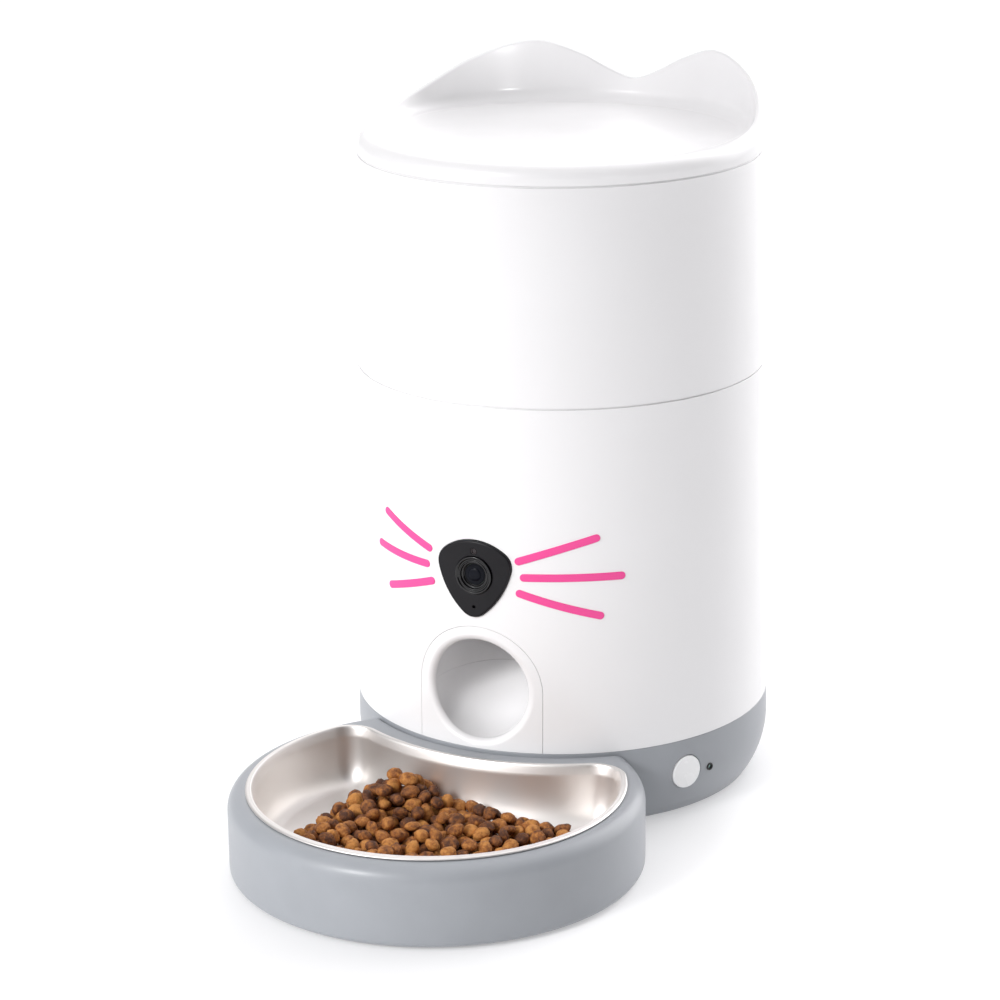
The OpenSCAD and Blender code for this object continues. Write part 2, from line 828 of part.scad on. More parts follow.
// Share of the tip height that is left in the dip between the ears
dip = (ear_dip - lid_dish) / (ear_rise - lid_dish);
dip_shoulder = dip + 0.65 * (1 - dip);
dip_side = dip + 0.24 * (1 - dip);

// Height of the ear wall above the lid's flat top, at an angle from the front.
// Angles and fractions of the tip height; a smooth curve runs through them.
ear_keys = [[40, 0], [66, 0], [92, 0.05], [112, 0.36], [130, 0.76], [149, 1],
    [163, dip_shoulder], [172, dip_side], [180, dip], [188, dip_side], [197, dip_shoulder]];

function ear_tangent(i) = (ear_keys[i + 1][1] - ear_keys[i - 1][1]) / (ear_keys[i + 1][0] - ear_keys[i - 1][0]);

function ear_span(a, i = 1) = a <= ear_keys[i + 1][0] ? i : ear_span(a, i + 1);

function ear_curve(a, i) =
    let (w = ear_keys[i + 1][0] - ear_keys[i][0], t = (a - ear_keys[i][0]) / w)
    (2 * t ^ 3 - 3 * t ^ 2 + 1) * ear_keys[i][1] + (t ^ 3 - 2 * t ^ 2 + t) * w * ear_tangent(i)
    + (3 * t ^ 2 - 2 * t ^ 3) * ear_keys[i + 1][1] + (t ^ 3 - t ^ 2) * w * ear_tangent(i + 1);

function ear_height(a) = a <= 66 ? 0 : ear_curve(a, ear_span(a));

// Drop from the rim's crest to the flat top
function crest_drop(a) = lid_dish + ear_height(a) * (ear_rise - lid_dish);

function fade(d, length) = exp(-(d - lid_dish) / length);

// Half section of the lid at an angle from the front: outer wall, rounded crest, a
// convex then a concave arc down to the flat top, and the underside
function lid_section(a) =
    let (d = crest_drop(a), crest = lid_flat + d,
        round_out = 1.5 + 4 * fade(d, 3), convex = 1.5 + 18.5 * fade(d, 2),
        concave = 7 + 13 * fade(d, 2), slope = 88 * (1 - exp(-(d - lid_dish + 0.7) / 5)),
        crest_r = r_at(crest) - round_out,
        straight = max((d - (convex + concave) * (1 - cos(slope))) / sin(slope), 0.01),
        knee = [crest_r - convex * sin(slope), crest - convex * (1 - cos(slope))],
        foot = knee - straight * [cos(slope), sin(slope)])
    concat(
        [[r_at(lid_base) - 2.4, lid_under], [r_at(lid_base) - 2.4, lid_base]],
        [[r_at(lid_base), lid_base]],
        [for (t = [0.35, 0.7]) let (z = lid_base + t * (crest - round_out - lid_base)) [r_at(z), z]],
        [for (b = [0 : 22.5 : 90]) [crest_r + round_out * cos(b), crest - round_out * (1 - sin(b))]],
        [for (t = [0.33, 0.67, 1])
            [crest_r - convex * sin(slope * t), crest - convex * (1 - cos(slope * t))]],
        [for (t = [0.5]) knee + (foot - knee) * t],
        [for (t = [1, 0.75, 0.5, 0.25, 0])
            [foot[0] - concave * (sin(slope) - sin(slope * t)),
                lid_flat + concave * (1 - cos(slope * t))]],
        [[50, lid_flat]]);

module lid_cover() {
    steps = 120;
    section = [for (k = [0 : steps - 1]) lid_section(abs(((k * 360 / steps + 180) % 360) - 180))];
    rings = len(section[0]);
    points = concat(
        [for (k = [0 : steps - 1]) for (p = section[k])
            let (b = k * 360 / steps) [p[0] * sin(b), -p[0] * cos(b), p[1]]],
        [[0, 0, lid_flat], [0, 0, lid_under]]);
    top_pole = steps * rings;
    function at(k, j) = (k % steps) * rings + j;
    faces = concat(
        [for (k = [0 : steps - 1]) for (j = [0 : rings - 2])
            [at(k, j), at(k + 1, j), at(k + 1, j + 1), at(k, j + 1)]],
        [for (k = [0 : steps - 1]) [at(k, rings - 1), at(k + 1, rings - 1), top_pole]],
        [for (k = [0 : steps - 1]) [at(k + 1, 0), at(k, 0), top_pole + 1]]);
    color(white) at_body() polyhedron(points, [for (f = faces) [for (i = [len(f) - 1 : -1 : 0]) f[i]]]);
}

liner_z = 311;

module lid_liner() {
    color(ivory) at_body() {
        translate([0, 0, liner_z]) cylinder(r = 90, h = 2);
        ring(89, 86.5, 303, liner_z + eps);
        polar(4, 70, 45) translate([0, 0, liner_z + 2 - eps]) cylinder(r = 4, h = lid_under - liner_z - 2);
    }
}

module lid_seal() {
    color([0.6, 0.62, 0.66]) at_body() rotate_extrude() {
        translate([89, 304]) square([1.2, 5]);
        translate([90, 305]) circle(r = 1, $fn = 32);
        translate([90, 308]) circle(r = 1, $fn = 32);
    }
}

case_z = 297;

module desiccant_case() {
    color(white) at_body() ring(26, 24, case_z, liner_z);
}

module desiccant_pack() {
    color([0.75, 0.83, 0.90]) at_body() translate([0, 0, case_z + 2]) cylinder(r = 22, h = 10);
}

module desiccant_cap() {
    color(white) at_body() difference() {
        union() {
            translate([0, 0, case_z - 2.6]) cylinder(r = 27.5, h = 2.4);
            translate([0, 0, case_z - 0.3]) cylinder(r = 23.4, h = 1.6);
        }
        polar(6, 14) translate([0, 0, case_z - 4]) cylinder(r = 2.6, h = 10);
        polar(3, 6) translate([0, 0, case_z - 4]) cylinder(r = 2, h = 10);
    }
}

// ---- Bowl ----

// Centre of a round corner of the crescent, in the bowl's own frame. The crescent is a
// circle about the bowl's centre less a circle about the body axis.
crescent_corner =
    let (a = dish_r - dish_corner, b = dish_back_r + dish_corner,
        y = (bowl_dist ^ 2 + a ^ 2 - b ^ 2) / (2 * bowl_dist))
    [sqrt(a ^ 2 - y ^ 2), y];

// Arc points about a centre
function arc(centre, r, a0, a1, n) =
    [for (i = [0 : n]) centre + r * [cos(a0 + (a1 - a0) * i / n), sin(a0 + (a1 - a0) * i / n)]];

// Outline of the crescent, shrunk by inset
function crescent(inset) =
    let (c = crescent_corner,
        out = atan2(c[1], c[0]),
        back = atan2(c[1] - bowl_dist, c[0]),
        r = dish_corner - inset)
    concat(
        arc([0, 0], dish_r - inset, -180 - out, out, 56),
        arc(c, r, out, 180 + back, 8),
        arc([0, bowl_dist], dish_back_r + inset, back, -180 - back, 32),
        arc([-c[0], c[1]], r, -back, 180 - out, 8));

// The same crescent as exact circles, for the tray
module crescent_area(inset) {
    c = crescent_corner;
    r = dish_corner - inset;
    out = c / norm(c);
    back = (c - [0, bowl_dist]) / norm(c - [0, bowl_dist]);
    far = 60;
    difference() {
        circle(r = dish_r - inset);
        translate([0, bowl_dist]) circle(r = dish_back_r + inset);
        for (side = [0, 1])
            mirror([side, 0]) polygon([c - r * back, c + r * out, c + r * out + far * (out - back),
                c - r * back + far * (out - back)]);
    }
    for (side = [0, 1])
        mirror([side, 0]) translate(c) circle(r = r);
}

module tray_profile(inset) {
    r = tray_r - inset;
    top = tray_top - inset;
    s = tray_shoulder - inset;
    translate([0, tray_bottom + 3]) square([r, top - s - tray_bottom - 3]);
    translate([0, tray_bottom]) square([r - 3, top - tray_bottom]);
    translate([0, top - s - 1]) square([r - s, s + 1]);
    translate([r - s, top - s]) circle(r = s);
    translate([r - 3, tray_bottom + 3]) circle(r = 3);
}

well_inset = 3;
well_z = 5.5;

module tray_outside(inset) {
    intersection() {
        rotate_extrude() intersection() {
            tray_profile(inset);
            square([200, 100]);
        }
        difference() {
            translate([0, 0, -1]) cylinder(r = 150, h = 60);
            translate([0, bowl_dist, -2]) cylinder(r = tray_back_r + inset, h = 70);
        }
    }
}

module bowl_tray() {
    color(grey) at_bowl() {
        difference() {
            tray_outside(0);
            translate([0, 0, well_z]) linear_extrude(60) crescent_area(well_inset);
            difference() {
                intersection() {
                    tray_outside(2.4);
                    translate([-150, -150, 0]) cube([300, 300, tray_top - 3]);
                }
                linear_extrude(60) crescent_area(well_inset - 2);
            }
        }
        translate([0, bowl_dist, 0])
            for (side = [-1, 1]) {
                box(side * hook_x - hook_w / 2, side * hook_x + hook_w / 2,
                    -tray_back_r - 2, hook_tip_y, hook_z0, hook_z1 - 3);
                box(side * hook_x - hook_w / 2, side * hook_x + hook_w / 2,
                    hook_tip_y - 3, hook_tip_y, hook_z0, hook_z1);
            }
    }
}

module tray_feet() {
    color(black) at_bowl() for (p = [[0, -72], [-62, -20], [62, -20]])
        translate(p) cylinder(r = 6.5, h = tray_bottom);
}

// Section of the steel bowl from the rim's outer edge over the top and down the inside,
// then back up the outside: inset from the rim outline, height
dish_t = 0.8;
function dish_wall(t, depth, extra) =
    [4.2 + extra + 10.3 * (1 - cos(90 * t)) ^ 1.3, tray_top + 1.2 - depth * sin(90 * t) ^ 0.8];
dish_inside = [for (t = [0.06, 0.15, 0.28, 0.42, 0.58, 0.75, 1]) dish_wall(t, dish_depth, 0)];
dish_outside = [for (t = [1, 0.75, 0.58, 0.42, 0.28, 0.15]) dish_wall(t, dish_depth + dish_t, -dish_t)];
dish_rings = concat(
    dish_outside,
    [[4.2 - dish_t, tray_top + 0.25], [0.4, tray_top + 0.25], [0, tray_top + 0.7], [0.4, tray_top + 1.2],
        [1.6, tray_top + 1.5], [3, tray_top + 1.3]],
    dish_inside);

module steel_bowl() {
    n = len(crescent(0));
    rings = [for (k = dish_rings) [for (p = crescent(k[0])) [p[0], p[1], k[1]]]];
    points = [for (loop = rings) for (p = loop) p];
    m = len(rings);
    faces = concat(
        [for (j = [0 : m - 2]) for (i = [0 : n - 1])
            [j * n + i, j * n + (i + 1) % n, (j + 1) * n + (i + 1) % n, (j + 1) * n + i]],
        [[for (i = [n - 1 : -1 : 0]) i]],
        [[for (i = [0 : n - 1]) (m - 1) * n + i]]);
    color(steel) at_bowl() polyhedron(points, [for (f = faces) [for (i = [len(f) - 1 : -1 : 0]) f[i]]]);
}

base_shell();
bottom_plate();
rubber_feet();
base_screws();
battery_box();
battery_cells();
battery_contacts();
battery_door();
lower_shell();
chute_panel();
scoop_lower();
scoop_upper();
chute_duct();
deck_plate();
deck_screws();
nose_plate();
camera_ring();
camera_lens();
camera_module();
light_sensor();
microphone();
whiskers();
main_board();
wifi_module();
board_screws();
speaker();
gear_motor();
motor_bracket();
motor_screws();
gear_axle();
power_inlet();
status_led();
button_switch();
button_cap();
drive_gear();
motor_pinion();
hopper_shell();
hopper_bin();
hopper_floor();
portion_cover();
hub_bush();
rotor();
wiper_blades();
agitator();
lid_cover();
lid_liner();
lid_seal();
desiccant_case();
desiccant_pack();
desiccant_cap();
bowl_tray();
tray_feet();
steel_bowl();
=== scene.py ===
"""Looks of the automatic pet feeder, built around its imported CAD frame."""
import json
from math import acos, atan2, ceil, cos, exp, hypot, pi, radians, sin, sqrt, tan

import bmesh
import bpy
import numpy as np
from mathutils import Matrix, Vector
from mathutils.geometry import delaunay_2d_cdt


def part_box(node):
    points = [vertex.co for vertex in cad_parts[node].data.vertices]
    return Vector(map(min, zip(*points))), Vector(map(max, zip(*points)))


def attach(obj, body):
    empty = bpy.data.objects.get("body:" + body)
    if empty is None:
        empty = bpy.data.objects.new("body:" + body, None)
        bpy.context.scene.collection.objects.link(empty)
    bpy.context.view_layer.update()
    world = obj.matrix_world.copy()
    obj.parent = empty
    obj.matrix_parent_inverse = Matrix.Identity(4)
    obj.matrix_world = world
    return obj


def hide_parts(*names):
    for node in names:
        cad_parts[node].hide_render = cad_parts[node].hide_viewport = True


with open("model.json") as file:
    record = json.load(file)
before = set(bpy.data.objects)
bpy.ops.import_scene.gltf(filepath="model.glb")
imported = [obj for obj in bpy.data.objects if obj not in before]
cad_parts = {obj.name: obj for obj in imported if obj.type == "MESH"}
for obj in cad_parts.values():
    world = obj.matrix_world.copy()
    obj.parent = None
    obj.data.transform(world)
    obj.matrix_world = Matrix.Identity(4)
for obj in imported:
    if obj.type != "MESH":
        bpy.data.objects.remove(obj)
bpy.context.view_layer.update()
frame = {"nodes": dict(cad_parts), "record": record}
MM = 0.001
TAU = 2 * pi


def span(node):
    """Lowest and highest corner of a CAD node, in millimetres."""
    lo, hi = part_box(node)
    return np.array(lo) / MM, np.array(hi) / MM


# ---- places, in millimetres

lo_low, hi_low = span("lower_shell")
lo_hop, hi_hop = span("hopper_shell")
lo_base, _ = span("base_shell")
lo_tray, hi_tray = span("bowl_tray")
lo_dish, hi_dish = span("steel_bowl")
lo_lid, hi_lid = span("lid_cover")
lo_panel, hi_panel = span("chute_panel")
lo_ring, hi_ring = span("camera_ring")

AXIS_Y = (lo_hop[1] + hi_hop[1]) / 2
BASE_TOP = lo_low[2]
TAPER = (hi_low[0] - hi_hop[0]) / (lo_hop[2] - lo_low[2])
WALL = 2.6
DISH_R = (hi_dish[0] - lo_dish[0]) / 2
BOWL_Y = lo_dish[1] + DISH_R
BOWL_DIST = AXIS_Y - BOWL_Y
TRAY_R = (hi_tray[0] - lo_tray[0]) / 2
TRAY_TOP = hi_tray[2]
ARCH_R = (hi_panel[0] - lo_panel[0]) / 2
CHUTE_Z = hi_panel[2] - ARCH_R
CAM_Z = (lo_ring[2] + hi_ring[2]) / 2


def r_at(z):
    """Radius of the tapered body at a height."""
    return hi_low[0] - TAPER * (z - lo_low[2])


# ---- mesh tools


def quarter(count):
    return np.linspace(0, pi / 2, count)


def unit(rows):
    return rows / np.linalg.norm(rows, axis=1)[:, None]


def signed_volume(v, faces):
    total = 0.0
    for f in faces:
        for k in range(1, len(f) - 1):
            total += np.dot(v[f[0]], np.cross(v[f[k]], v[f[k + 1]]))
    return total


def outward(v, faces):
    """Faces of a closed mesh, turned over if they look inwards."""
    return faces if signed_volume(v, faces) >= 0 else [tuple(reversed(f)) for f in faces]


def add(name, data):
    obj = bpy.data.objects.new(name, data)
    bpy.context.scene.collection.objects.link(obj)
    return obj


def new_object(name, verts, faces):
    """A mesh object in the row frame, from points in millimetres."""
    mesh = bpy.data.meshes.new(name)
    mesh.from_pydata((np.asarray(verts) * MM).tolist(), [], faces)
    return add(name, mesh)


def make_piece(name, verts, faces, body, slot, nodes=(), normals=None, sharp=38):
    """One welded mesh piece; sharp is the angle in degrees from which its edges stay hard."""
    v = np.asarray(verts, float)
    _, first, back = np.unique(np.round(v, 4), axis=0, return_index=True, return_inverse=True)
    order = np.argsort(first)
    back = np.argsort(order)[back.reshape(-1)]
    first = first[order]
    v = v[first]
    clean = []
    for f in faces:
        g = [int(back[i]) for i in f]
        g = [k for k, after in zip(g, g[1:] + g[:1]) if k != after]
        if len(set(g)) == len(g) > 2:
            clean.append(tuple(g))
    obj = new_object(name, v, outward(v, clean))
    mesh = obj.data
    mesh.validate()
    mesh.shade_smooth()
    if normals is None:
        mesh.set_sharp_from_angle(angle=radians(sharp))
    else:
        mesh.normals_split_custom_set_from_vertices(normals[first].tolist())
    finish_piece(obj, body, slot, nodes)


def finish_piece(obj, body, slot, nodes=()):
    """Material, body and slot of a piece, and the CAD nodes that it stands for."""
    obj.data.materials.clear()
    obj.data.materials.append(material(slot))
    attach(obj, body)
    if nodes:
        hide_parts(*nodes)


def arc(x, y, r, a0, a1, count, endpoint=False):
    t = np.linspace(a0, a1, count, endpoint=endpoint)
    return np.stack([x + r * np.cos(t), y + r * np.sin(t)], -1)


def circle(x, y, r, count):
    return arc(x, y, r, 0, TAU, count)


def fillet(points, radii, steps=5):
    """A closed outline with its corners rounded."""
    p = [np.array(q, float) for q in points]
    out = []
    for i, (c, r) in enumerate(zip(p, np.broadcast_to(radii, len(p)))):
        if r <= 0:
            out.append(c)
            continue
        a, b = p[i - 1] - c, p[(i + 1) % len(p)] - c
        la, lb = np.linalg.norm(a), np.linalg.norm(b)
        a, b = a / la, b / lb
        half = acos(max(-1, min(1, float(a @ b)))) / 2
        d = min(r / tan(half), 0.49 * la, 0.49 * lb)
        r = d * tan(half)
        mid = c + (a + b) / np.linalg.norm(a + b) * r / sin(half)
        s, e = c + a * d - mid, c + b * d - mid
        a0 = atan2(*s[::-1])
        turn = (atan2(*e[::-1]) - a0 + pi) % TAU - pi
        out += list(arc(*mid, r, a0, a0 + turn, steps + 1, True))
    return np.array(out)


def grid_faces(rows, cols, close_rows, close_cols):
    """Quads of a grid of points, numbered row by row."""
    faces = []
    for i in range(rows if close_rows else rows - 1):
        for j in range(cols if close_cols else cols - 1):
            i2, j2 = (i + 1) % rows, (j + 1) % cols
            faces.append((i * cols + j, i * cols + j2, i2 * cols + j2, i2 * cols + j))
    return faces


def turned(profile, steps):
    """A section of radius and height, turned once around: two sides, heights and faces."""
    a = np.linspace(0, TAU, steps, endpoint=False)
    p = np.asarray(profile)
    height = np.repeat(p[:, None, 1], steps, axis=1)
    return p[:, None, 0] * np.sin(a), p[:, None, 0] * np.cos(a), height, grid_faces(len(p), steps, True, True)


def lathe(profile, steps, axis=AXIS_Y):
    """A closed section of radius and height, turned about a vertical axis in the middle plane."""
    x, y, z, faces = turned(profile, steps)
    return np.stack([x, axis - y, z], -1).reshape(-1, 3), faces


def pointing(bearing, z, profile, steps):
    """A section of radius and distance from the body axis, turned about a level line."""
    rise, side, out, faces = turned(profile, steps)
    b = radians(bearing)
    x = out * sin(b) + side * cos(b)
    y = AXIS_Y - out * cos(b) + side * sin(b)
    return np.stack([x, y, z + rise], -1).reshape(-1, 3), faces


def merge(*parts):
    """Several (points, faces) pairs as one."""
    verts, faces, n = [], [], 0
    for v, f in parts:
        verts.append(np.asarray(v))
        faces += [tuple(i + n for i in g) for g in f]
        n += len(v)
    return np.concatenate(verts), faces


def inside(points, loop):
    """Which points lie inside a closed outline."""
    x, y = points[:, 0], points[:, 1]
    hit = np.zeros(len(points), bool)
    for (x0, y0), (x1, y1) in zip(loop, np.roll(loop, -1, axis=0)):
        cross = (y0 > y) != (y1 > y)
        if cross.any():
            xc = (x1 - x0) * (y - y0) / (y1 - y0 + 1e-30) + x0
            hit ^= cross & (x < xc)
    return hit


def between(points, outer, holes):
    """Which points lie inside an outline and outside its holes."""
    hit = inside(points, outer)
    for q in holes:
        hit &= ~inside(points, q)
    return hit


def fill(outer, holes=(), extra=np.zeros((0, 2))):
    """Triangles between an outline and its holes, through extra points inside."""
    edges, n = [], 0
    for q in (outer, *holes):
        edges += [(n + i, n + (i + 1) % len(q)) for i in range(len(q))]
        n += len(q)
    pts = np.concatenate([outer, *holes, extra])
    _, _, found, origin, _, _ = delaunay_2d_cdt([Vector(q) for q in pts], edges, [], 0, 1e-9)
    tris = np.array([[origin[i][0] for i in f] for f in found if all(origin[i] for i in f)])
    return pts, tris[between(pts[tris].mean(axis=1), outer, holes)]


def turning(loop):
    """Twice the signed area of an outline: positive when it runs anticlockwise."""
    nxt = np.roll(loop, -1, axis=0)
    return float(np.sum(loop[:, 0] * nxt[:, 1] - nxt[:, 0] * loop[:, 1]))


def inward(loop, into_hole):
    """Mitred unit steps from an outline into the material."""
    nxt, prv = np.roll(loop, -1, axis=0), np.roll(loop, 1, axis=0)
    e0, e1 = unit(loop - prv), unit(nxt - loop)
    n0, n1 = np.stack([-e0[:, 1], e0[:, 0]], -1), np.stack([-e1[:, 1], e1[:, 0]], -1)
    n = unit(n0 + n1)
    n /= np.maximum(np.sum(n * n0, axis=1), 0.5)[:, None]
    return n * (1 if (turning(loop) > 0) != into_hole else -1)


ARC = 100.0  # plate coordinate per radian
CROWDING = 0.45  # how near to an edge an inner point may lie, in steps of the inner points
PROBE, LAST_RING = 0.01, 0.2


class Skin:
    """A plate that follows a surface of revolution, with holes and rounded rims.

    Plate coordinates are (arc, v); place(q, depth) and normal(q) map them to space.
    """

    def __init__(self, place, normal, thick, bevel=0.35, step=(3.4, 10), wrap=None):
        self.place, self.normal, self.thick, self.bevel = place, normal, thick, bevel
        self.step, self.wrap = step, wrap

    def build(self, outer, holes=(), lips={}):
        """outer is an outline; its points at wrap = (middle, half) are where the plate
        closes on itself. lips gives a hole its own (width, depth) of rounding."""
        du, dv = self.step
        scale = np.array([1.0, du / dv])
        n = inward(outer, False)
        closing = np.zeros(len(outer), bool)
        if self.wrap:
            at = np.abs(np.abs(outer[:, 0] - self.wrap[0]) - self.wrap[1]) < 1e-6
            foot = at & (np.abs(outer[:, 1] - outer[:, 1].min()) < 1e-6)
            head = at & (np.abs(outer[:, 1] - outer[:, 1].max()) < 1e-6)
            n[foot], n[head] = (0, 1), (0, -1)
            closing = at & ~foot & ~head
            n[closing] = 0
        edge = outer + n * self.bevel
        ids = np.arange(len(outer))
        if closing.any():
            order = np.roll(ids, -np.flatnonzero(closing)[0])
            cuts = np.flatnonzero(closing[order])
            chains = [c[~closing[c]] for c in np.split(order, cuts) if (~closing[c]).sum() > 1]
        else:
            chains = [np.append(ids, 0)]
        rims = [(c, n[c], self.bevel, self.bevel, turning(outer) > 0) for c in chains]
        inner, start = [], len(edge)
        for k, q in enumerate(holes):
            m = inward(q, True)
            b, d = lips.get(k, (self.bevel, self.bevel))
            inner.append(q + m * b)
            ring = np.append(np.arange(len(q)), 0)
            rims.append((ring + start, m[ring], b, d, turning(q) < 0))
            start += len(q)
        axes = [np.arange(q.min() + d / 2, q.max(), d) for q, d in zip(outer.T, self.step)]
        extra = np.stack(np.meshgrid(*axes), -1).reshape(-1, 2)
        near = np.concatenate([edge] + inner)
        extra = extra[between(extra, edge, inner)]
        if len(extra):
            gap = np.array([np.min(np.sum(((near - e) * scale) ** 2, axis=1)) for e in extra])
            extra = extra[gap > (CROWDING * du) ** 2]
        pts, tris = fill(edge * scale, [q * scale for q in inner], extra * scale)
        pts = pts / scale
        back = len(pts)
        count = 2 * back
        up = self.normal(pts)
        verts = [self.place(pts, 0.0), self.place(pts, self.thick)]
        norms = [up, -up]
        faces = [tuple(t) for t in tris] + [tuple(t[::-1] + back) for t in tris]
        for ids, step_in, b, d, forward in rims:
            foot = pts[ids]
            line = foot - step_in * b
            top = self.normal(foot)
            side = unit(self.place(foot - step_in * PROBE, 0.0) - self.place(foot, 0.0))
            levels = []
            for phi in quarter(7)[1:]:
                q = line + step_in * b * (1 - sin(phi))
                levels.append((self.place(q, d * (1 - cos(phi))), top * cos(phi) + side * sin(phi)))
            if self.thick - d > 2 * LAST_RING:
                levels.append((self.place(line, self.thick - LAST_RING), side))
            rings = [ids]
            for p, q in levels:
                verts.append(p)
                norms.append(unit(q))
                rings.append(np.arange(len(ids)) + count)
                count += len(ids)
            rings.append(ids + back)
            for a, c in zip(rings[:-1], rings[1:]):
                if not forward:
                    a, c = c, a
                faces += [(a[i + 1], a[i], c[i], c[i + 1]) for i in range(len(ids) - 1)]
        return np.concatenate(verts), faces, np.concatenate(norms)


def around(r, a, z):
    """Points about the body axis; the angle runs from the front towards +X."""
    return np.stack([r * np.sin(a), AXIS_Y - r * np.cos(a), z], -1)


def body_place(proud=0.0):
    """The place function of a plate on the body, standing proud of it by some millimetres."""
    return lambda q, depth: around(r_at(q[:, 1]) + proud - depth, q[:, 0] / ARC, q[:, 1])


def leaning(a, out, up):
    """Unit normals at angles from the front, from their outward and upward parts."""
    return unit(np.stack([out * np.sin(a), -out * np.cos(a), up], -1))


def body_normal(q):
    return leaning(q[:, 0] / ARC, 1.0, np.full(len(q), TAPER))


def seen(xz):
    """Front view outline points to plate coordinates of the body."""
    xz = np.asarray(xz, float)
    return np.stack([ARC * np.arcsin(xz[:, 0] / r_at(xz[:, 1])), xz[:, 1]], -1)


def resample(loop, step):
    """A closed outline with points at most a step apart."""
    out = []
    for p, q in zip(loop, np.roll(loop, -1, axis=0)):
        n = max(1, int(ceil(np.linalg.norm(q - p) / step)))
        out += [p + (q - p) * k / n for k in range(n)]
    return np.array(out)


# ---- materials

MADE = {}


def feed(tree, target, inputs):
    """Gives each input of a node a constant, or joins it to another node's output."""
    for key, value in inputs.items():
        if isinstance(value, bpy.types.NodeSocket):
            tree.links.new(value, target.inputs[key])
        else:
            target.inputs[key].default_value = value


def node(tree, kind, inputs=None, **settings):
    made = tree.nodes.new("ShaderNode" + kind)
    for key, value in settings.items():
        setattr(made, key, value)
    feed(tree, made, inputs or {})
    return made


def material(slot):
    """The procedural material of one of the record's slots."""
    if slot not in MADE:
        MADE[slot] = surface(slot, *LOOKS[slot])
    return MADE[slot]


CLOUD_LOW, CLOUD_HIGH = 0.3, 0.7  # the noise values that the two ends of a spread stand at
GRAIN_STRENGTH = 0.35


def surface(name, color, vary, rough, rough_vary, cloud, grain, bump, metal=0.0, ior=1.5,
            glow=0.0, stretch=(1, 1, 1)):
    """Colour clouds, roughness clouds and a fine grain in the surface."""
    mat = bpy.data.materials.new(name)
    mat.use_nodes = True
    tree = mat.node_tree
    tree.nodes.clear()
    coord = node(tree, "TexCoord")
    at = node(tree, "Mapping", {"Vector": coord.outputs["Object"], "Scale": stretch}).outputs[0]
    clouds = node(tree, "TexNoise", {"Vector": at, "Scale": cloud, "Detail": 3}).outputs["Fac"]
    fine = node(tree, "TexNoise", {"Vector": at, "Scale": grain, "Detail": 2}).outputs["Fac"]
    ramp = node(tree, "ValToRGB", {0: clouds})
    dark, light = ramp.color_ramp.elements
    c = np.array(color)
    dark.position, dark.color = CLOUD_LOW, (*(c * (1 - vary)), 1)
    light.position, light.color = CLOUD_HIGH, (*np.minimum(c * (1 + vary), 1.0), 1)
    gloss = node(tree, "MapRange", {
        "Value": clouds, "From Min": CLOUD_LOW, "From Max": CLOUD_HIGH,
        "To Min": rough - rough_vary, "To Max": rough + rough_vary})
    relief = node(tree, "Bump", {
        "Height": fine, "Strength": GRAIN_STRENGTH, "Distance": bump * MM})
    bsdf = node(tree, "BsdfPrincipled", {
        "Base Color": ramp.outputs[0], "Roughness": gloss.outputs[0], "Normal": relief.outputs[0],
        "Metallic": metal, "IOR": ior})
    if glow:
        feed(tree, bsdf, {"Emission Color": (*color, 1), "Emission Strength": glow})
    node(tree, "OutputMaterial", {0: bsdf.outputs[0]})
    return mat


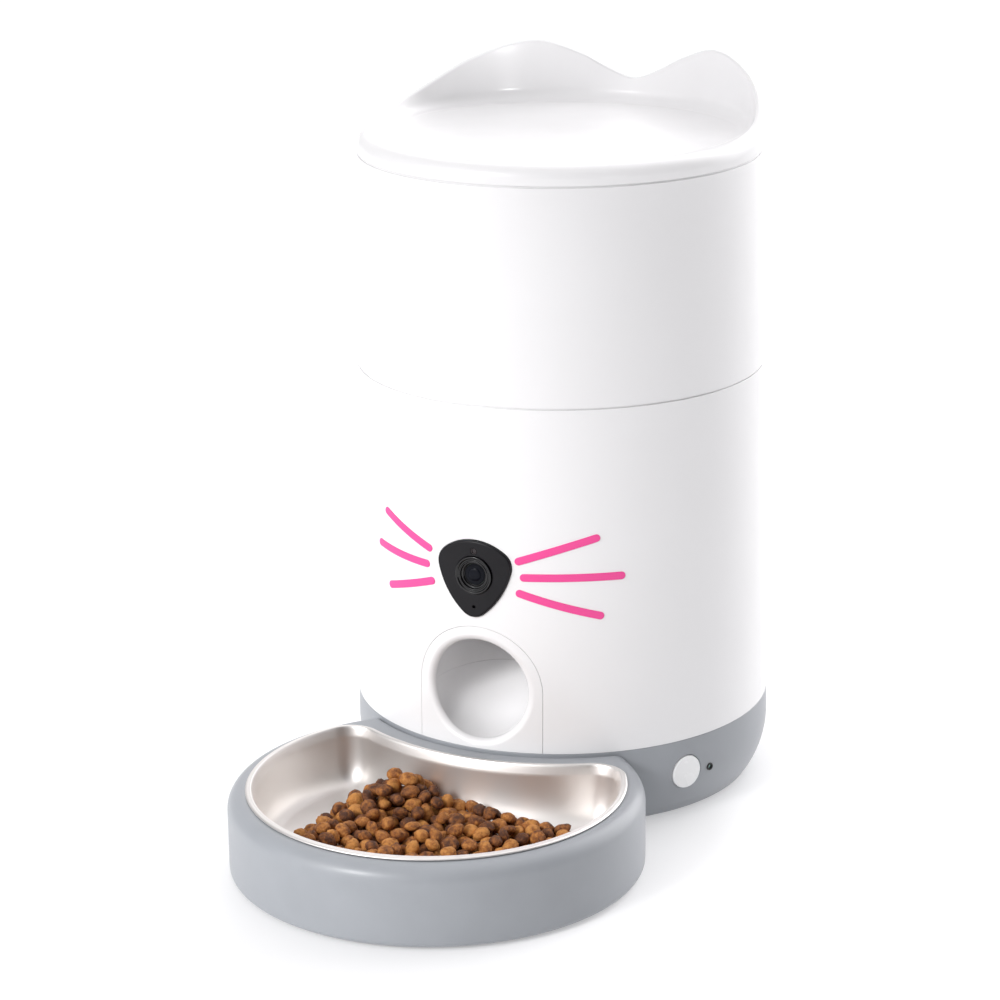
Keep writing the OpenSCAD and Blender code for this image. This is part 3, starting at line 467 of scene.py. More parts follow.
# Each slot: colour and its spread, roughness and its spread, cloud scale, grain scale, relief in
# millimetres; then, where it isn't plain plastic: metal, ior, glow, stretch
LOOKS = {
    "white_shell": ((0.88, 0.876, 0.884), 0.008, 0.2, 0.03, 18, 700, 0.01),
    "grey_base": ((0.335, 0.352, 0.378), 0.03, 0.38, 0.04, 60, 1500, 0.03),
    "grey_tray": ((0.335, 0.352, 0.378), 0.025, 0.36, 0.04, 60, 1500, 0.03),
    "inner_white": ((0.78, 0.78, 0.76), 0.02, 0.5, 0.06, 50, 1200, 0.03),
    "rotor_grey": ((0.42, 0.44, 0.46), 0.04, 0.45, 0.06, 60, 1200, 0.03),
    "wiper_rubber": ((0.035, 0.035, 0.038), 0.2, 0.7, 0.06, 120, 1800, 0.05),
    "seal_rubber": ((0.32, 0.34, 0.37), 0.08, 0.65, 0.06, 120, 1800, 0.04),
    "foot_rubber": ((0.022, 0.022, 0.024), 0.25, 0.75, 0.06, 150, 1500, 0.08),
    "nose_black": ((0.006, 0.0055, 0.0075), 0.15, 0.34, 0.03, 90, 900, 0.006, 0.0, 1.33),
    "camera_black": ((0.004, 0.004, 0.005), 0.2, 0.1, 0.06, 200, 2500, 0.02),
    "lens_glass": ((0.004, 0.005, 0.009), 0.2, 0.06, 0.01, 300, 600, 0.001, 0.0, 1.22),
    "sensor_red": ((0.014, 0.008, 0.01), 0.3, 0.16, 0.03, 600, 2000, 0.004),
    "whisker_pink": ((0.9, 0.07, 0.32), 0.02, 0.36, 0.06, 30, 1600, 0.02),
    "bowl_steel": ((0.83, 0.805, 0.785), 0.012, 0.47, 0.015, 14, 900, 0.008, 1.0),
    "screw_steel": ((0.55, 0.55, 0.56), 0.08, 0.3, 0.06, 300, 2000, 0.02, 1.0),
    "motor_steel": ((0.52, 0.53, 0.54), 0.06, 0.33, 0.06, 90, 900, 0.02, 1.0, 1.5, 0.0, (1, 1, 4)),
    "gear_acetal": ((0.8, 0.79, 0.73), 0.03, 0.42, 0.06, 80, 1400, 0.02),
    "pinion_brass": ((0.74, 0.52, 0.22), 0.08, 0.28, 0.06, 150, 1600, 0.02, 1.0),
    "bush_bronze": ((0.48, 0.3, 0.16), 0.12, 0.42, 0.06, 250, 2500, 0.04, 1.0),
    "board_green": ((0.012, 0.09, 0.035), 0.25, 0.33, 0.06, 160, 900, 0.04),
    "module_tin": ((0.62, 0.62, 0.6), 0.06, 0.34, 0.06, 160, 1600, 0.02, 1.0),
    "cell_jacket": ((0.6, 0.33, 0.05), 0.06, 0.3, 0.06, 60, 700, 0.01, 0.6),
    "contact_nickel": ((0.62, 0.6, 0.54), 0.08, 0.3, 0.06, 200, 1600, 0.02, 1.0),
    "box_black": ((0.016, 0.016, 0.018), 0.2, 0.5, 0.06, 90, 1500, 0.05),
    "speaker_black": ((0.02, 0.02, 0.02), 0.3, 0.75, 0.06, 150, 2200, 0.08),
    "inlet_black": ((0.012, 0.012, 0.012), 0.2, 0.45, 0.06, 150, 2000, 0.03),
    "led_clear": ((0.35, 0.52, 0.48), 0.1, 0.1, 0.03, 500, 900, 0.003, 0.0, 1.5, 0.25),
    "button_white": ((0.95, 0.955, 0.96), 0.012, 0.26, 0.03, 120, 1400, 0.015),
    "desiccant_white": ((0.72, 0.75, 0.8), 0.06, 0.85, 0.06, 250, 1800, 0.15),
}

for part in frame["record"]["subparts"]:
    holder = frame["nodes"][part["node"]]
    holder.data.materials.clear()
    holder.data.materials.append(material(part["material_slot"]))

# ---- lid with its ear wall

LID_BASE = lo_lid[2]
EAR_TIP = hi_lid[2]
LID_DISH = 2.0
LID_RISE = 9.4
SEAM_HALF = 0.35
LID_FLAT = LID_BASE - SEAM_HALF + LID_RISE - LID_DISH
LID_UNDER = LID_FLAT - WALL
EAR_RISE = EAR_TIP - LID_FLAT
EAR_DIP = 12.2
DIP = (EAR_DIP - LID_DISH) / (EAR_RISE - LID_DISH)
DIP_SHOULDER = DIP + 0.65 * (1 - DIP)
DIP_SIDE = DIP + 0.24 * (1 - DIP)
EAR_KEYS = [(40, 0), (66, 0), (92, 0.05), (112, 0.36), (130, 0.76), (149, 1),
            (163, DIP_SHOULDER), (172, DIP_SIDE), (180, DIP), (188, DIP_SIDE), (197, DIP_SHOULDER)]


def ear_height(a):
    """Share of the ear tip's height at an angle from the front, in degrees."""
    if a <= EAR_KEYS[1][0]:
        return 0.0
    i = 1
    while a > EAR_KEYS[i + 1][0]:
        i += 1
    (a0, h0), (a1, h1) = EAR_KEYS[i], EAR_KEYS[i + 1]
    m0 = (h1 - EAR_KEYS[i - 1][1]) / (a1 - EAR_KEYS[i - 1][0])
    m1 = (EAR_KEYS[i + 2][1] - h0) / (EAR_KEYS[i + 2][0] - a0)
    w, t = a1 - a0, (a - a0) / (a1 - a0)
    return ((2 * t ** 3 - 3 * t ** 2 + 1) * h0 + (t ** 3 - 2 * t ** 2 + t) * w * m0
            + (3 * t ** 2 - 2 * t ** 3) * h1 + (t ** 3 - t ** 2) * w * m1)


def lid_section(a):
    """Half section of the lid: underside, outer wall, rounded crest, inner face, flat top."""
    d = LID_DISH + ear_height(a) * (EAR_RISE - LID_DISH)
    crest = LID_FLAT + d
    soft = exp(-(d - LID_DISH) / 3)
    broad = exp(-(d - LID_DISH) / 2)
    edge, convex, concave = 1.5 + 4 * soft, 1.5 + 18.5 * broad, 7 + 13 * broad
    slope = radians(88 * (1 - exp(-(d - LID_DISH + 0.7) / 5)))
    crest_r = r_at(crest) - edge
    run = max((d - (convex + concave) * (1 - cos(slope))) / sin(slope), 0.01)
    knee = np.array([crest_r - convex * sin(slope), crest - convex * (1 - cos(slope))])
    foot = knee - run * np.array([cos(slope), sin(slope)])
    r0, z0 = r_at(LID_BASE), LID_BASE
    pts = [(0, LID_UNDER), (60, LID_UNDER), (r0 - 2.4, LID_UNDER), (r0 - 2.4, z0 + 0.3), (r0 - 2.1, z0),
           (r0 - 0.7, z0), (r0 - 0.3, z0 + 0.08), (r0 - 0.08, z0 + 0.3)]
    for t in np.linspace(0, 1, 8):
        z = z0 + 0.7 + t * (crest - edge - z0 - 0.7)
        pts.append((r_at(z), z))
    for b in quarter(11)[1:]:
        pts.append((crest_r + edge * cos(b), crest - edge * (1 - sin(b))))
    for b in slope * np.linspace(0, 1, 13)[1:]:
        pts.append((crest_r - convex * sin(b), crest - convex * (1 - cos(b))))
    for t in (0.25, 0.5, 0.75):
        pts.append(tuple(knee + (foot - knee) * t))
    for t in np.linspace(1, 0, 15):
        pts.append((foot[0] - concave * (sin(slope) - sin(slope * t)),
                    LID_FLAT + concave * (1 - cos(slope * t))))
    last = pts[-1][0]
    for t in (0.92, 0.8, 0.62, 0.4, 0.2, 0.0):
        pts.append((last * t, LID_FLAT))
    return pts


def build_lid():
    """The section turned about the axis, half a degree at a time."""
    rows = []
    for a in np.arange(720) / 2:
        b = radians(a)
        rows.append([(r * sin(b), AXIS_Y - r * cos(b), z)
                     for r, z in lid_section(abs((a + 180) % 360 - 180))])
    faces = grid_faces(len(rows), len(rows[0]), True, False)
    make_piece("lid_shell", np.concatenate(rows), faces, "lid", "white_shell", ["lid_cover"], sharp=50)


build_lid()

# ---- hopper and lower shell


def seam_tongue(z):
    """Ring set back from the surface that stands up into the seam above a shell."""
    r = r_at(z)
    section = [(r - 0.8, z - 1.5), (r - 0.8, z + 0.62), (r - 2.2, z + 0.62), (r - 2.2, z - 1.5)]
    return lathe(fillet(section, 0.1, 2), 384)


def build_hopper_shell():
    z0, z1 = lo_hop[2], hi_hop[2]
    shelf = 93.7
    section = [(r_at(z0), z0), (r_at(z1), z1), (r_at(z1) - WALL, z1), (r_at(z0 + 5) - WALL, z0 + 5),
               (shelf, z0 + 5), (shelf, z0 + 2), (r_at(z0 + 2) - WALL, z0 + 2), (r_at(z0) - WALL, z0)]
    outline = fillet(section, [0.2, 0.2, 0.4, 0.3, 0.4, 0.4, 0.3, 0.4], 5)
    v, f = merge(lathe(outline, 384), seam_tongue(z1))
    make_piece("hopper_skin", v, f, "hopper", "white_shell", ["hopper_shell"])


build_hopper_shell()

NOSE_X, NOSE_Z = -0.7, 126.6
NOSE_NARROW, NOSE_MID_X = 0.967, -1.3
NOSE_HALF, NOSE_UP, NOSE_DOWN, NOSE_ROUND = 11.2, 6.2, -11.2, 8.3
TOP_RHO, SIDE_RHO = 18.1, 31.7


def nose_outline(extra):
    """Front view outline of the rounded triangle, grown by extra."""
    mirror = [-1, 1]
    corner, tip = np.array([NOSE_HALF, NOSE_UP]), np.array([0.0, NOSE_DOWN])
    side = corner - tip
    length = np.linalg.norm(side)
    into = np.array([-side[1], side[0]]) / length * sqrt(SIDE_RHO ** 2 - length ** 2 / 4)
    right = (corner + tip) / 2 + into
    top = np.array([0.0, NOSE_UP - sqrt(TOP_RHO ** 2 - NOSE_HALF ** 2)])

    def bearing(point, centre):
        return atan2(*(point - centre)[::-1])

    arcs = []
    for centre, rho, a, b in ((right, SIDE_RHO, tip, corner), (top, TOP_RHO, corner, corner * mirror),
                              (right * mirror, SIDE_RHO, corner * mirror, tip)):
        a0 = bearing(a, centre)
        turn = (bearing(b, centre) - a0 + pi) % TAU - pi
        arcs.append((centre, rho + NOSE_ROUND + extra, a0, a0 + turn, b))
    out = []
    for k, (centre, rho, a0, a1, end) in enumerate(arcs):
        turn = (arcs[(k + 1) % 3][2] - a1 + pi) % TAU - pi
        out += [arc(*centre, rho, a0, a1, 22, True),
                arc(*end, NOSE_ROUND + extra, a1, a1 + turn, 12, True)[1:-1]]
    return np.concatenate(out) * [NOSE_NARROW, 1.0] + [NOSE_MID_X, NOSE_Z]


def arch_outline(extra, foot):
    """Front view outline of the arched panel, from its foot up."""
    r = ARCH_R + extra
    top = arc(0, CHUTE_Z, r, 0, pi, 65, True)
    left = [(-r, z) for z in np.linspace(CHUTE_Z, foot, 8)[1:]]
    base = [(x, foot) for x in np.linspace(-r, r, 17)[1:-1]]
    right = [(r, z) for z in np.linspace(foot, CHUTE_Z, 8)[:-1]]
    return np.concatenate([top, left, base, right])


def face_normals(v, faces):
    """Mean of the face normals around each point."""
    n = np.zeros_like(v)
    for f in faces:
        out = np.cross(v[f[2]] - v[f[0]], v[f[3]] - v[f[1]])
        n[list(f)] += out / max(np.linalg.norm(out), 1e-12)
    if signed_volume(v, faces) < 0:
        n = -n
    return unit(n)


def build_lower_shell():
    """The shell is open at its foot where the arched panel stands, so that notch is part of
    its outline, and the outline closes on itself at the back."""
    z0, z1 = lo_low[2], hi_low[2]
    half = ARC * pi
    arch = seen(arch_outline(0.13, z0))
    over = arch[:65]
    left = arch[65:72]
    reach = np.linspace(left[-1][0], -half, 86)[1:]
    foot = np.stack([reach, np.full(len(reach), z0)], -1)
    side = np.array([(-half, z) for z in np.linspace(z0, z1, 20)[1:-1]])
    rim = np.array([(u, z1) for u in np.linspace(-half, half, 200)])
    flip = np.array([-1.0, 1.0])
    outer = np.concatenate([over, left, foot, side, rim, side[::-1] * flip,
                            foot[::-1] * flip, left[::-1] * flip])
    skin = Skin(body_place(), body_normal, WALL, bevel=0.18, step=(3.2, 9), wrap=(0.0, half))
    hole = seen(nose_outline(0.2))
    v, f, n = skin.build(outer, [hole])
    tongue_v, tongue_f = seam_tongue(z1)
    v, f = merge((v, f), (tongue_v, tongue_f))
    n = np.concatenate([n, face_normals(tongue_v, tongue_f)])
    make_piece("lower_skin", v, f, "base", "white_shell", ["lower_shell"], normals=n)


def build_chute_panel():
    foot = lo_panel[2]
    skin = Skin(body_place(), body_normal, WALL, bevel=0.18, step=(3.0, 4.0))
    outer = seen(arch_outline(0.0, foot))
    mouth = seen(circle(0, CHUTE_Z, 25.0, 144))
    v, f, n = skin.build(outer, [mouth], lips={0: (3.4, 2.55)})
    make_piece("chute_surround", v, f, "base", "white_shell", ["chute_panel"], normals=n)


build_lower_shell()
build_chute_panel()

# ---- scoop behind the round mouth


def solid(name, verts, faces):
    """A closed mesh object for boolean work."""
    return new_object(name, verts, outward(np.asarray(verts), faces))


def cut(obj, tool, operation):
    """The boolean of obj with tool, which is used up."""
    m = obj.modifiers.new("cut", "BOOLEAN")
    m.operation, m.solver, m.object = operation, "EXACT", tool
    bpy.context.view_layer.update()
    done = bpy.data.meshes.new_from_object(obj.evaluated_get(bpy.context.evaluated_depsgraph_get()))
    obj.modifiers.clear()
    obj.data = done
    bpy.data.objects.remove(tool)


def capsule(a, b, r, steps, rings):
    """A ball swept from a to b, as a closed mesh."""
    a, b = np.array(a), np.array(b)
    axis = (b - a) / np.linalg.norm(b - a)
    side = np.cross(axis, [1, 0, 0])
    side /= np.linalg.norm(side)
    other = np.cross(axis, side)
    t = np.linspace(0, TAU, steps, endpoint=False)
    rows = []
    for centre, angles in ((a, np.linspace(-90, 0, rings)[1:]), (b, np.linspace(0, 90, rings)[:-1])):
        for p in np.radians(angles):
            rows.append(centre + axis * r * sin(p) + r * cos(p)
                        * (np.cos(t)[:, None] * side + np.sin(t)[:, None] * other))
    n = len(rows)
    v = np.concatenate(rows + [[a - axis * r, b + axis * r]])
    faces = grid_faces(n, steps, False, True)
    for j in range(steps):
        faces.append(((j + 1) % steps, j, n * steps))
        faces.append(((n - 1) * steps + j, (n - 1) * steps + (j + 1) % steps, n * steps + 1))
    return v, faces


SCOOP_R, SCOOP_WALL, SCOOP_DIST, SCOOP_END_Z = 25.5, 2.0, 95.0, 100.0
DUCT_DIST, DUCT_R = 62.0, 20.0


def build_scoops():
    near = (0, AXIS_Y - SCOOP_DIST, CHUTE_Z)
    far = (0, AXIS_Y - DUCT_DIST, SCOOP_END_Z)
    for name, cad, z0, z1 in (("scoop_low", "scoop_lower", CHUTE_Z - 30, CHUTE_Z - 0.05),
                              ("scoop_high", "scoop_upper", CHUTE_Z + 0.05, SCOOP_END_Z + 30)):
        part = solid(name, *capsule(near, far, SCOOP_R + SCOOP_WALL, 96, 24))
        reach = WALL + 0.05
        section = [(20, z0), (r_at(z0) - reach, z0), (r_at(z1) - reach, z1), (20, z1)]
        cut(part, solid("tube", *lathe(section, 240)), "INTERSECT")
        cut(part, solid("hollow", *capsule(near, far, SCOOP_R, 96, 24)), "DIFFERENCE")
        if z1 > SCOOP_END_Z:
            low, r = SCOOP_END_Z + 12, DUCT_R + SCOOP_WALL
            section = [(0.0, low), (r, low), (r, low + 40), (0.0, low + 40)]
            bore = solid("bore", *lathe(section, 96, AXIS_Y - DUCT_DIST))
            weld(bore)
            cut(part, bore, "DIFFERENCE")
        part.data.shade_smooth()
        part.data.set_sharp_from_angle(angle=radians(32))
        finish_piece(part, "base", "white_shell", [cad])


def weld(obj):
    bm = bmesh.new()
    bm.from_mesh(obj.data)
    bmesh.ops.remove_doubles(bm, verts=bm.verts, dist=1e-7)
    bm.to_mesh(obj.data)
    bm.free()


build_scoops()

# ---- nose, camera, whiskers

NOSE_PROUD = 1.6
NOSE_R = r_at(CAM_Z) + NOSE_PROUD
SENSOR_Z, MIC_Z = NOSE_Z + 13.2, NOSE_Z - 14.2


def build_nose():
    skin = Skin(body_place(NOSE_PROUD), body_normal, 3.6, bevel=0.9, step=(1.6, 1.6))
    outer = seen(resample(nose_outline(0.0), 0.8))
    holes = [seen(circle(NOSE_X, CAM_Z, 9.4, 96)), seen(circle(NOSE_X, SENSOR_Z, 1.6, 40)),
             seen(circle(NOSE_X, MIC_Z, 0.8, 32))]
    v, f, n = skin.build(outer, holes, lips={0: (0.3, 0.3), 1: (0.2, 0.2), 2: (0.15, 0.15)})
    make_piece("nose_badge", v, f, "base", "nose_black", ["nose_plate"], normals=n)


BEZEL = [(9.3, -4), (9.3, 0.8), (8.5, 0.8), (8.0, 0.15), (7.5, 0.15), (7.2, 0.5), (6.8, 0.5),
         (6.5, -0.6), (6.0, -0.6), (5.7, -0.9), (5.5, -1.5), (5.3, -1.5), (5.3, -4)]
BEZEL_ROUND = [0.1, 0.3, 0.25, 0.1, 0.1, 0.12, 0.12, 0.1, 0.1, 0.1, 0.05, 0.05, 0.1]
GLASS = [(3.3, -1.15), (3.9, -1.15), (4.0, -1.35), (4.6, -1.35), (4.7, -1.6), (5.05, -1.6),
         (5.05, -3.6), (0.0, -3.6)]
EYE = [(1.5, -3.0), (1.5, -0.35), (1.05, -0.35), (0.85, -0.9), (0.0, -0.9), (0.0, -3.0)]
EYE_ROUND = [0.05, 0.15, 0.1, 0.1, 0, 0]


def nose_turning(name, z, section, steps, slot, cad):
    """A turned piece that looks forward out of the nose plate."""
    v, f = pointing(0, z, section, steps)
    make_piece(name, v + [NOSE_X, 0, 0], f, "base", slot, [cad])


def proud_of_nose(section):
    return [(r, NOSE_R + out) for r, out in section]


def build_camera():
    bezel = fillet(proud_of_nose(BEZEL), BEZEL_ROUND, 5)
    nose_turning("camera_bezel", CAM_Z, bezel, 128, "camera_black", "camera_ring")
    dome = [(3.2 * sin(a), NOSE_R - 0.95 + 0.55 * cos(a)) for a in quarter(12)]
    nose_turning("camera_glass", CAM_Z, dome + proud_of_nose(GLASS), 96, "lens_glass", "camera_lens")
    eye = fillet(proud_of_nose(EYE), EYE_ROUND, 4)
    nose_turning("sensor_eye", SENSOR_Z, eye, 48, "sensor_red", "light_sensor")


# Each whisker: arc and height of its root, of its tip, bow, side; heights are from the nose
WHISKER_W, WHISKER_PROUD = 3.8, 0.42
WHISKERS = [(21, 9.9, 57.7, 21.4, 0.3, 1), (23.5, 2, 70, 2.2, 0.2, 1), (21.5, -5.9, 59.8, -16.8, -0.3, 1),
            (26.4, 10.5, 57.1, 22.1, -0.2, -1), (28, 2.4, 63.5, 4.7, -0.4, -1),
            (25, -5.6, 54.2, -14.3, -0.2, -1)]


def whisker(s0, z0, s1, z1, bow, sign):
    """Stroke with round ends, in plate coordinates."""
    t = np.linspace(0, 1, 36)
    mid = np.stack([s0 + (s1 - s0) * t, z0 + (z1 - z0) * t + bow * 4 * t * (1 - t)], -1)
    d = unit(np.gradient(mid, axis=0))
    side = np.stack([-d[:, 1], d[:, 0]], -1) * WHISKER_W / 2
    out = list(mid - side)
    for end, a0, back in ((-1, -90, (mid + side)[::-1]), (0, 90, [])):
        for a in np.radians(np.linspace(a0, a0 + 180, 12)[1:-1]):
            across = np.array([-d[end][1], d[end][0]])
            out.append(mid[end] + WHISKER_W / 2 * (cos(a) * d[end] + sin(a) * across))
        out += list(back)
    out = np.array(out) + [0, NOSE_Z]
    return np.stack([out[:, 0] * ARC / r_at(out[:, 1]) * sign, out[:, 1]], -1)


def build_whiskers():
    skin = Skin(body_place(WHISKER_PROUD), body_normal, 0.4, bevel=0.3, step=(1.2, 1.2))
    built = [skin.build(whisker(*row)) for row in WHISKERS]
    v, f = merge(*[b[:2] for b in built])
    n = np.concatenate([b[2] for b in built])
    make_piece("whisker_inlays", v, f, "base", "whisker_pink", ["whiskers"], normals=n)


build_nose()
build_camera()
build_whiskers()

# ---- base, button

FOOT_H, FOOT_IN = 28.0, 9.5
FOOT_RHO = (FOOT_H ** 2 + FOOT_IN ** 2) / (2 * FOOT_IN)
FOOT_C = r_at(FOOT_H) - FOOT_RHO


def foot_v(z):
    """Height to the plate coordinate that runs along the base's profile."""
    z = np.asarray(z, float)
    return np.where(z >= FOOT_H, z, FOOT_H - FOOT_RHO * np.arcsin(np.clip((FOOT_H - z) / FOOT_RHO, 0, 1)))


def foot_profile(v):
    """Radius, height, and outward and upward part of the normal, along the base's profile."""
    curl = np.maximum(FOOT_H - v, 0) / FOOT_RHO
    low = v < FOOT_H
    c, s = np.cos(curl), np.sin(curl)
    return (np.where(low, FOOT_C + FOOT_RHO * c, r_at(v)), np.where(low, FOOT_H - FOOT_RHO * s, v),
            np.where(low, c, 1.0), np.where(low, -s, TAPER))


def base_place(q, depth):
    r, z, nr, nz = foot_profile(q[:, 1])
    return around(r - nr * depth, q[:, 0] / ARC, z - nz * depth)


def base_normal(q):
    return leaning(q[:, 0] / ARC, *foot_profile(q[:, 1])[2:])


def on_base(bearing, loop):
    """Outline seen along a bearing, to plate coordinates of the base."""
    v = foot_v(loop[:, 1])
    r = foot_profile(v)[0]
    return np.stack([ARC * (radians(bearing) + np.arcsin(loop[:, 0] / r)), v], -1)


BUTTON_BEARING, BUTTON_Z, BUTTON_R = 59.0, 23.7, 8.3
LED_BEARING, LED_Z, LED_R = 67.2, 22.6, 1.2
COLLAR_OUT, COLLAR_IN, STEM_R, STEM_END = 97.6, 96.2, 3.0, 94.9  # all but STEM_R from the body axis
INLET_Z, INLET_W, INLET_H = 20.0, 9.6, 3.8
HOOK_X, HOOK_W, HOOK_Z0, HOOK_Z1, HOOK_REACH = 26.0, 14.0, 14.0, 20.0, 92.0


def rounded_box(cx, cz, w, h, r):
    """Outline of a box with round corners about a point of the base's front view."""
    corners = [(cx + x * w / 2, cz + z * h / 2) for x, z in ((-1, -1), (1, -1), (1, 1), (-1, 1))]
    return resample(fillet(corners, r, 6), 1.5)


def build_base():
    """The skirt closes on itself at the left, clear of its holes."""
    half, mid = ARC * pi, ARC * pi / 2
    v0, v1 = float(foot_v(lo_base[2])), BASE_TOP
    us = np.linspace(mid - half, mid + half, 220)
    vs = np.linspace(v0, v1, 14)[1:-1]
    outer = np.array([(u, v0) for u in us] + [(mid + half, v) for v in vs]
                     + [(u, v1) for u in us[::-1]] + [(mid - half, v) for v in vs[::-1]])
    holes = [on_base(BUTTON_BEARING, circle(0, BUTTON_Z, BUTTON_R + 0.3, 96)),
             on_base(LED_BEARING, circle(0, LED_Z, LED_R, 40)),
             on_base(180, rounded_box(0, INLET_Z, INLET_W + 0.4, INLET_H + 0.4, INLET_H / 2))]
    for x in (-HOOK_X, HOOK_X):
        slot = rounded_box(x, (HOOK_Z0 + HOOK_Z1) / 2, HOOK_W + 1.2, HOOK_Z1 - HOOK_Z0 + 1.2, 0.8)
        holes.append(on_base(0, slot))
    skin = Skin(base_place, base_normal, WALL, bevel=0.45, step=(3.2, 3.2), wrap=(mid, half))
    v, f, n = skin.build(outer, holes, {0: (0.7, 0.7), 1: (0.3, 0.3), 2: (0.3, 0.3)})
    make_piece("base_skirt", v, f, "base", "grey_base", ["base_shell"], normals=n)


def build_button():
    face = r_at(BUTTON_Z) - 0.25
    r = BUTTON_R
    section = [(0.0, face - 0.35), (r * 0.45, face - 0.28), (r - 1.3, face - 0.02), (r - 0.8, face)]
    for a in quarter(7)[1:]:
        section.append((r - 0.8 + 0.8 * sin(a), face - 0.8 * (1 - cos(a))))
    section += [(r, COLLAR_OUT), (r + 1.6, COLLAR_OUT), (r + 1.6, COLLAR_IN), (STEM_R, COLLAR_IN),
                (STEM_R, STEM_END), (0.0, STEM_END)]
    disc = pointing(BUTTON_BEARING, BUTTON_Z, section, 96)
    make_piece("button_disc", *disc, "push_button", "button_white", ["button_cap"])


# Painted shade: a black ring round the LED, standing proud of the base, stands in for the dark of the LED's
# round hole.
def build_led_shade_ring():
    r, rim = LED_R, r_at(LED_Z) + 0.22
    ring = fillet([(r - 0.1, rim - 1.4), (r - 0.1, rim - 0.25), (r + 0.1, rim), (r + 0.55, rim),
                   (r + 0.75, rim - 0.3), (r + 0.75, rim - 1.4)], [0, 0.05, 0.1, 0.12, 0.1, 0], 4)
    make_piece("led_shade_ring", *pointing(LED_BEARING, LED_Z, ring, 48), "base", "inlet_black")


build_base()
build_led_shade_ring()
build_button()

# ---- bowl tray and steel bowl

TRAY_BACK_R, TRAY_BOTTOM, SHOULDER = 104.1, lo_tray[2], 8.0
DISH_BACK_R, DISH_CORNER, DISH_DEPTH, DISH_T = 114.5, 16.0, 29.0, 0.8
WELL_INSET, WELL_Z = 3.0, 5.5
TRAY_WALL, TRAY_CORNER, HEEL, WELL_EDGE = 2.4, 0.8, 3.0, 0.7
DISH_TOP, RIM_W, WALL_RUN, WALL_BEND, WALL_DROP = TRAY_TOP + 1.2, 4.2, 10.3, 1.3, 0.8


def crescent(r_out, r_back, r_corner):
    """A circle about the bowl's centre less one about the body axis, with round corners."""
    a, b = r_out - r_corner, r_back + r_corner
    cy = (BOWL_DIST ** 2 + a ** 2 - b ** 2) / (2 * BOWL_DIST)
    cx = sqrt(a ** 2 - cy ** 2)
    out = atan2(cy, cx)
    back = atan2(cy - BOWL_DIST, cx)

    return np.concatenate([
        arc(0, 0, r_out, -pi - out, out, 180), arc(cx, cy, r_corner, out, pi + back, 16),
        arc(0, BOWL_DIST, r_back, back, -pi - back, 90), arc(-cx, cy, r_corner, -back, pi - out, 16)])


def dish_loop(inset):
    return crescent(DISH_R - inset, DISH_BACK_R + inset, DISH_CORNER - inset)


def tray_loop(r, back_inset=0.0):
    return crescent(r, TRAY_BACK_R + back_inset, TRAY_CORNER)


def loft(rings, first, last):
    """Rings of points, each joined to the next; the first and last outline close the ends."""
    n = len(first)
    faces = grid_faces(len(rings), n, False, True)
    for outline, start, turn in ((first, 0, -1), (last, (len(rings) - 1) * n, 1)):
        faces += [tuple(t[::turn] + start) for t in fill(outline)[1]]
    return np.concatenate(rings), faces


def bowl_loft(loops):
    """A loft through loops of (outline, height) in the bowl's own frame."""
    rings = [np.column_stack([q + [0, BOWL_Y], np.full(len(q), z)]) for q, z in loops]
    return loft(rings, loops[0][0], loops[-1][0])


def hook(x):
    """One of the two hooks that reach into the base."""
    y0, y1 = AXIS_Y - TRAY_BACK_R - 0.2, AXIS_Y - HOOK_REACH
    side = fillet([(y0, HOOK_Z0), (y1, HOOK_Z0), (y1, HOOK_Z1), (y1 - 3, HOOK_Z1), (y1 - 3, HOOK_Z1 - 3),
                   (y0, HOOK_Z1 - 3)], [0, 0.8, 0.8, 0.8, 0.6, 0], 4)
    ends = [np.column_stack([np.full(len(side), x + dx), side]) for dx in (-HOOK_W / 2, HOOK_W / 2)]
    v, faces = loft(ends, side, side)
    return v, outward(v, faces)


def build_tray():
    """Outlines from inside the well's wall, under the shoulder, round the foot and over the top."""
    top, low, wall = TRAY_TOP, TRAY_BOTTOM, TRAY_WALL
    loops = [(dish_loop(1.0), low), (dish_loop(1.0), top - 3.0), (tray_loop(TRAY_R - 9, wall), top - 3.0)]
    for a in np.linspace(pi / 2, 0, 6):
        r = SHOULDER - wall
        loops.append((tray_loop(TRAY_R - SHOULDER + r * cos(a), wall),
                      top - SHOULDER - 0.6 + r * sin(a)))
    loops += [(tray_loop(TRAY_R - wall, wall), low + 3.4), (tray_loop(TRAY_R - 3.6, wall), low)]
    for a in np.linspace(-pi / 2, 0, 8):
        loops.append((tray_loop(TRAY_R - HEEL + HEEL * cos(a), 0.6 * (1 - cos(a))),
                      low + HEEL + HEEL * sin(a)))
    loops += [(tray_loop(TRAY_R), z) for z in np.linspace(low + HEEL, top - SHOULDER, 8)[1:]]
    for a in quarter(15)[1:]:
        lift = sin(a)
        inset = 1.2 * (1 - sqrt(max(1 - max(lift - 0.85, 0) ** 2 / 0.0225, 0)))
        loops.append((tray_loop(TRAY_R - SHOULDER + SHOULDER * cos(a), inset),
                      top - SHOULDER + SHOULDER * lift))
    for a in quarter(5):
        loops.append((dish_loop(WELL_INSET - WELL_EDGE + WELL_EDGE * sin(a)),
                      top - WELL_EDGE * (1 - cos(a))))
    loops += [(dish_loop(WELL_INSET), top - 6), (dish_loop(WELL_INSET), WELL_Z + 1),
              (dish_loop(WELL_INSET + 1), WELL_Z)]
    solids = merge(bowl_loft(loops), hook(-HOOK_X), hook(HOOK_X))
    make_piece("tray_skin", *solids, "tray", "grey_tray", ["bowl_tray"])


def dish_wall(t, depth, extra):
    """Inset and height of the steel wall, from under the rim down to the floor."""
    return (RIM_W + extra + WALL_RUN * (1 - cos(pi / 2 * t)) ** WALL_BEND,
            DISH_TOP - depth * sin(pi / 2 * t) ** WALL_DROP)


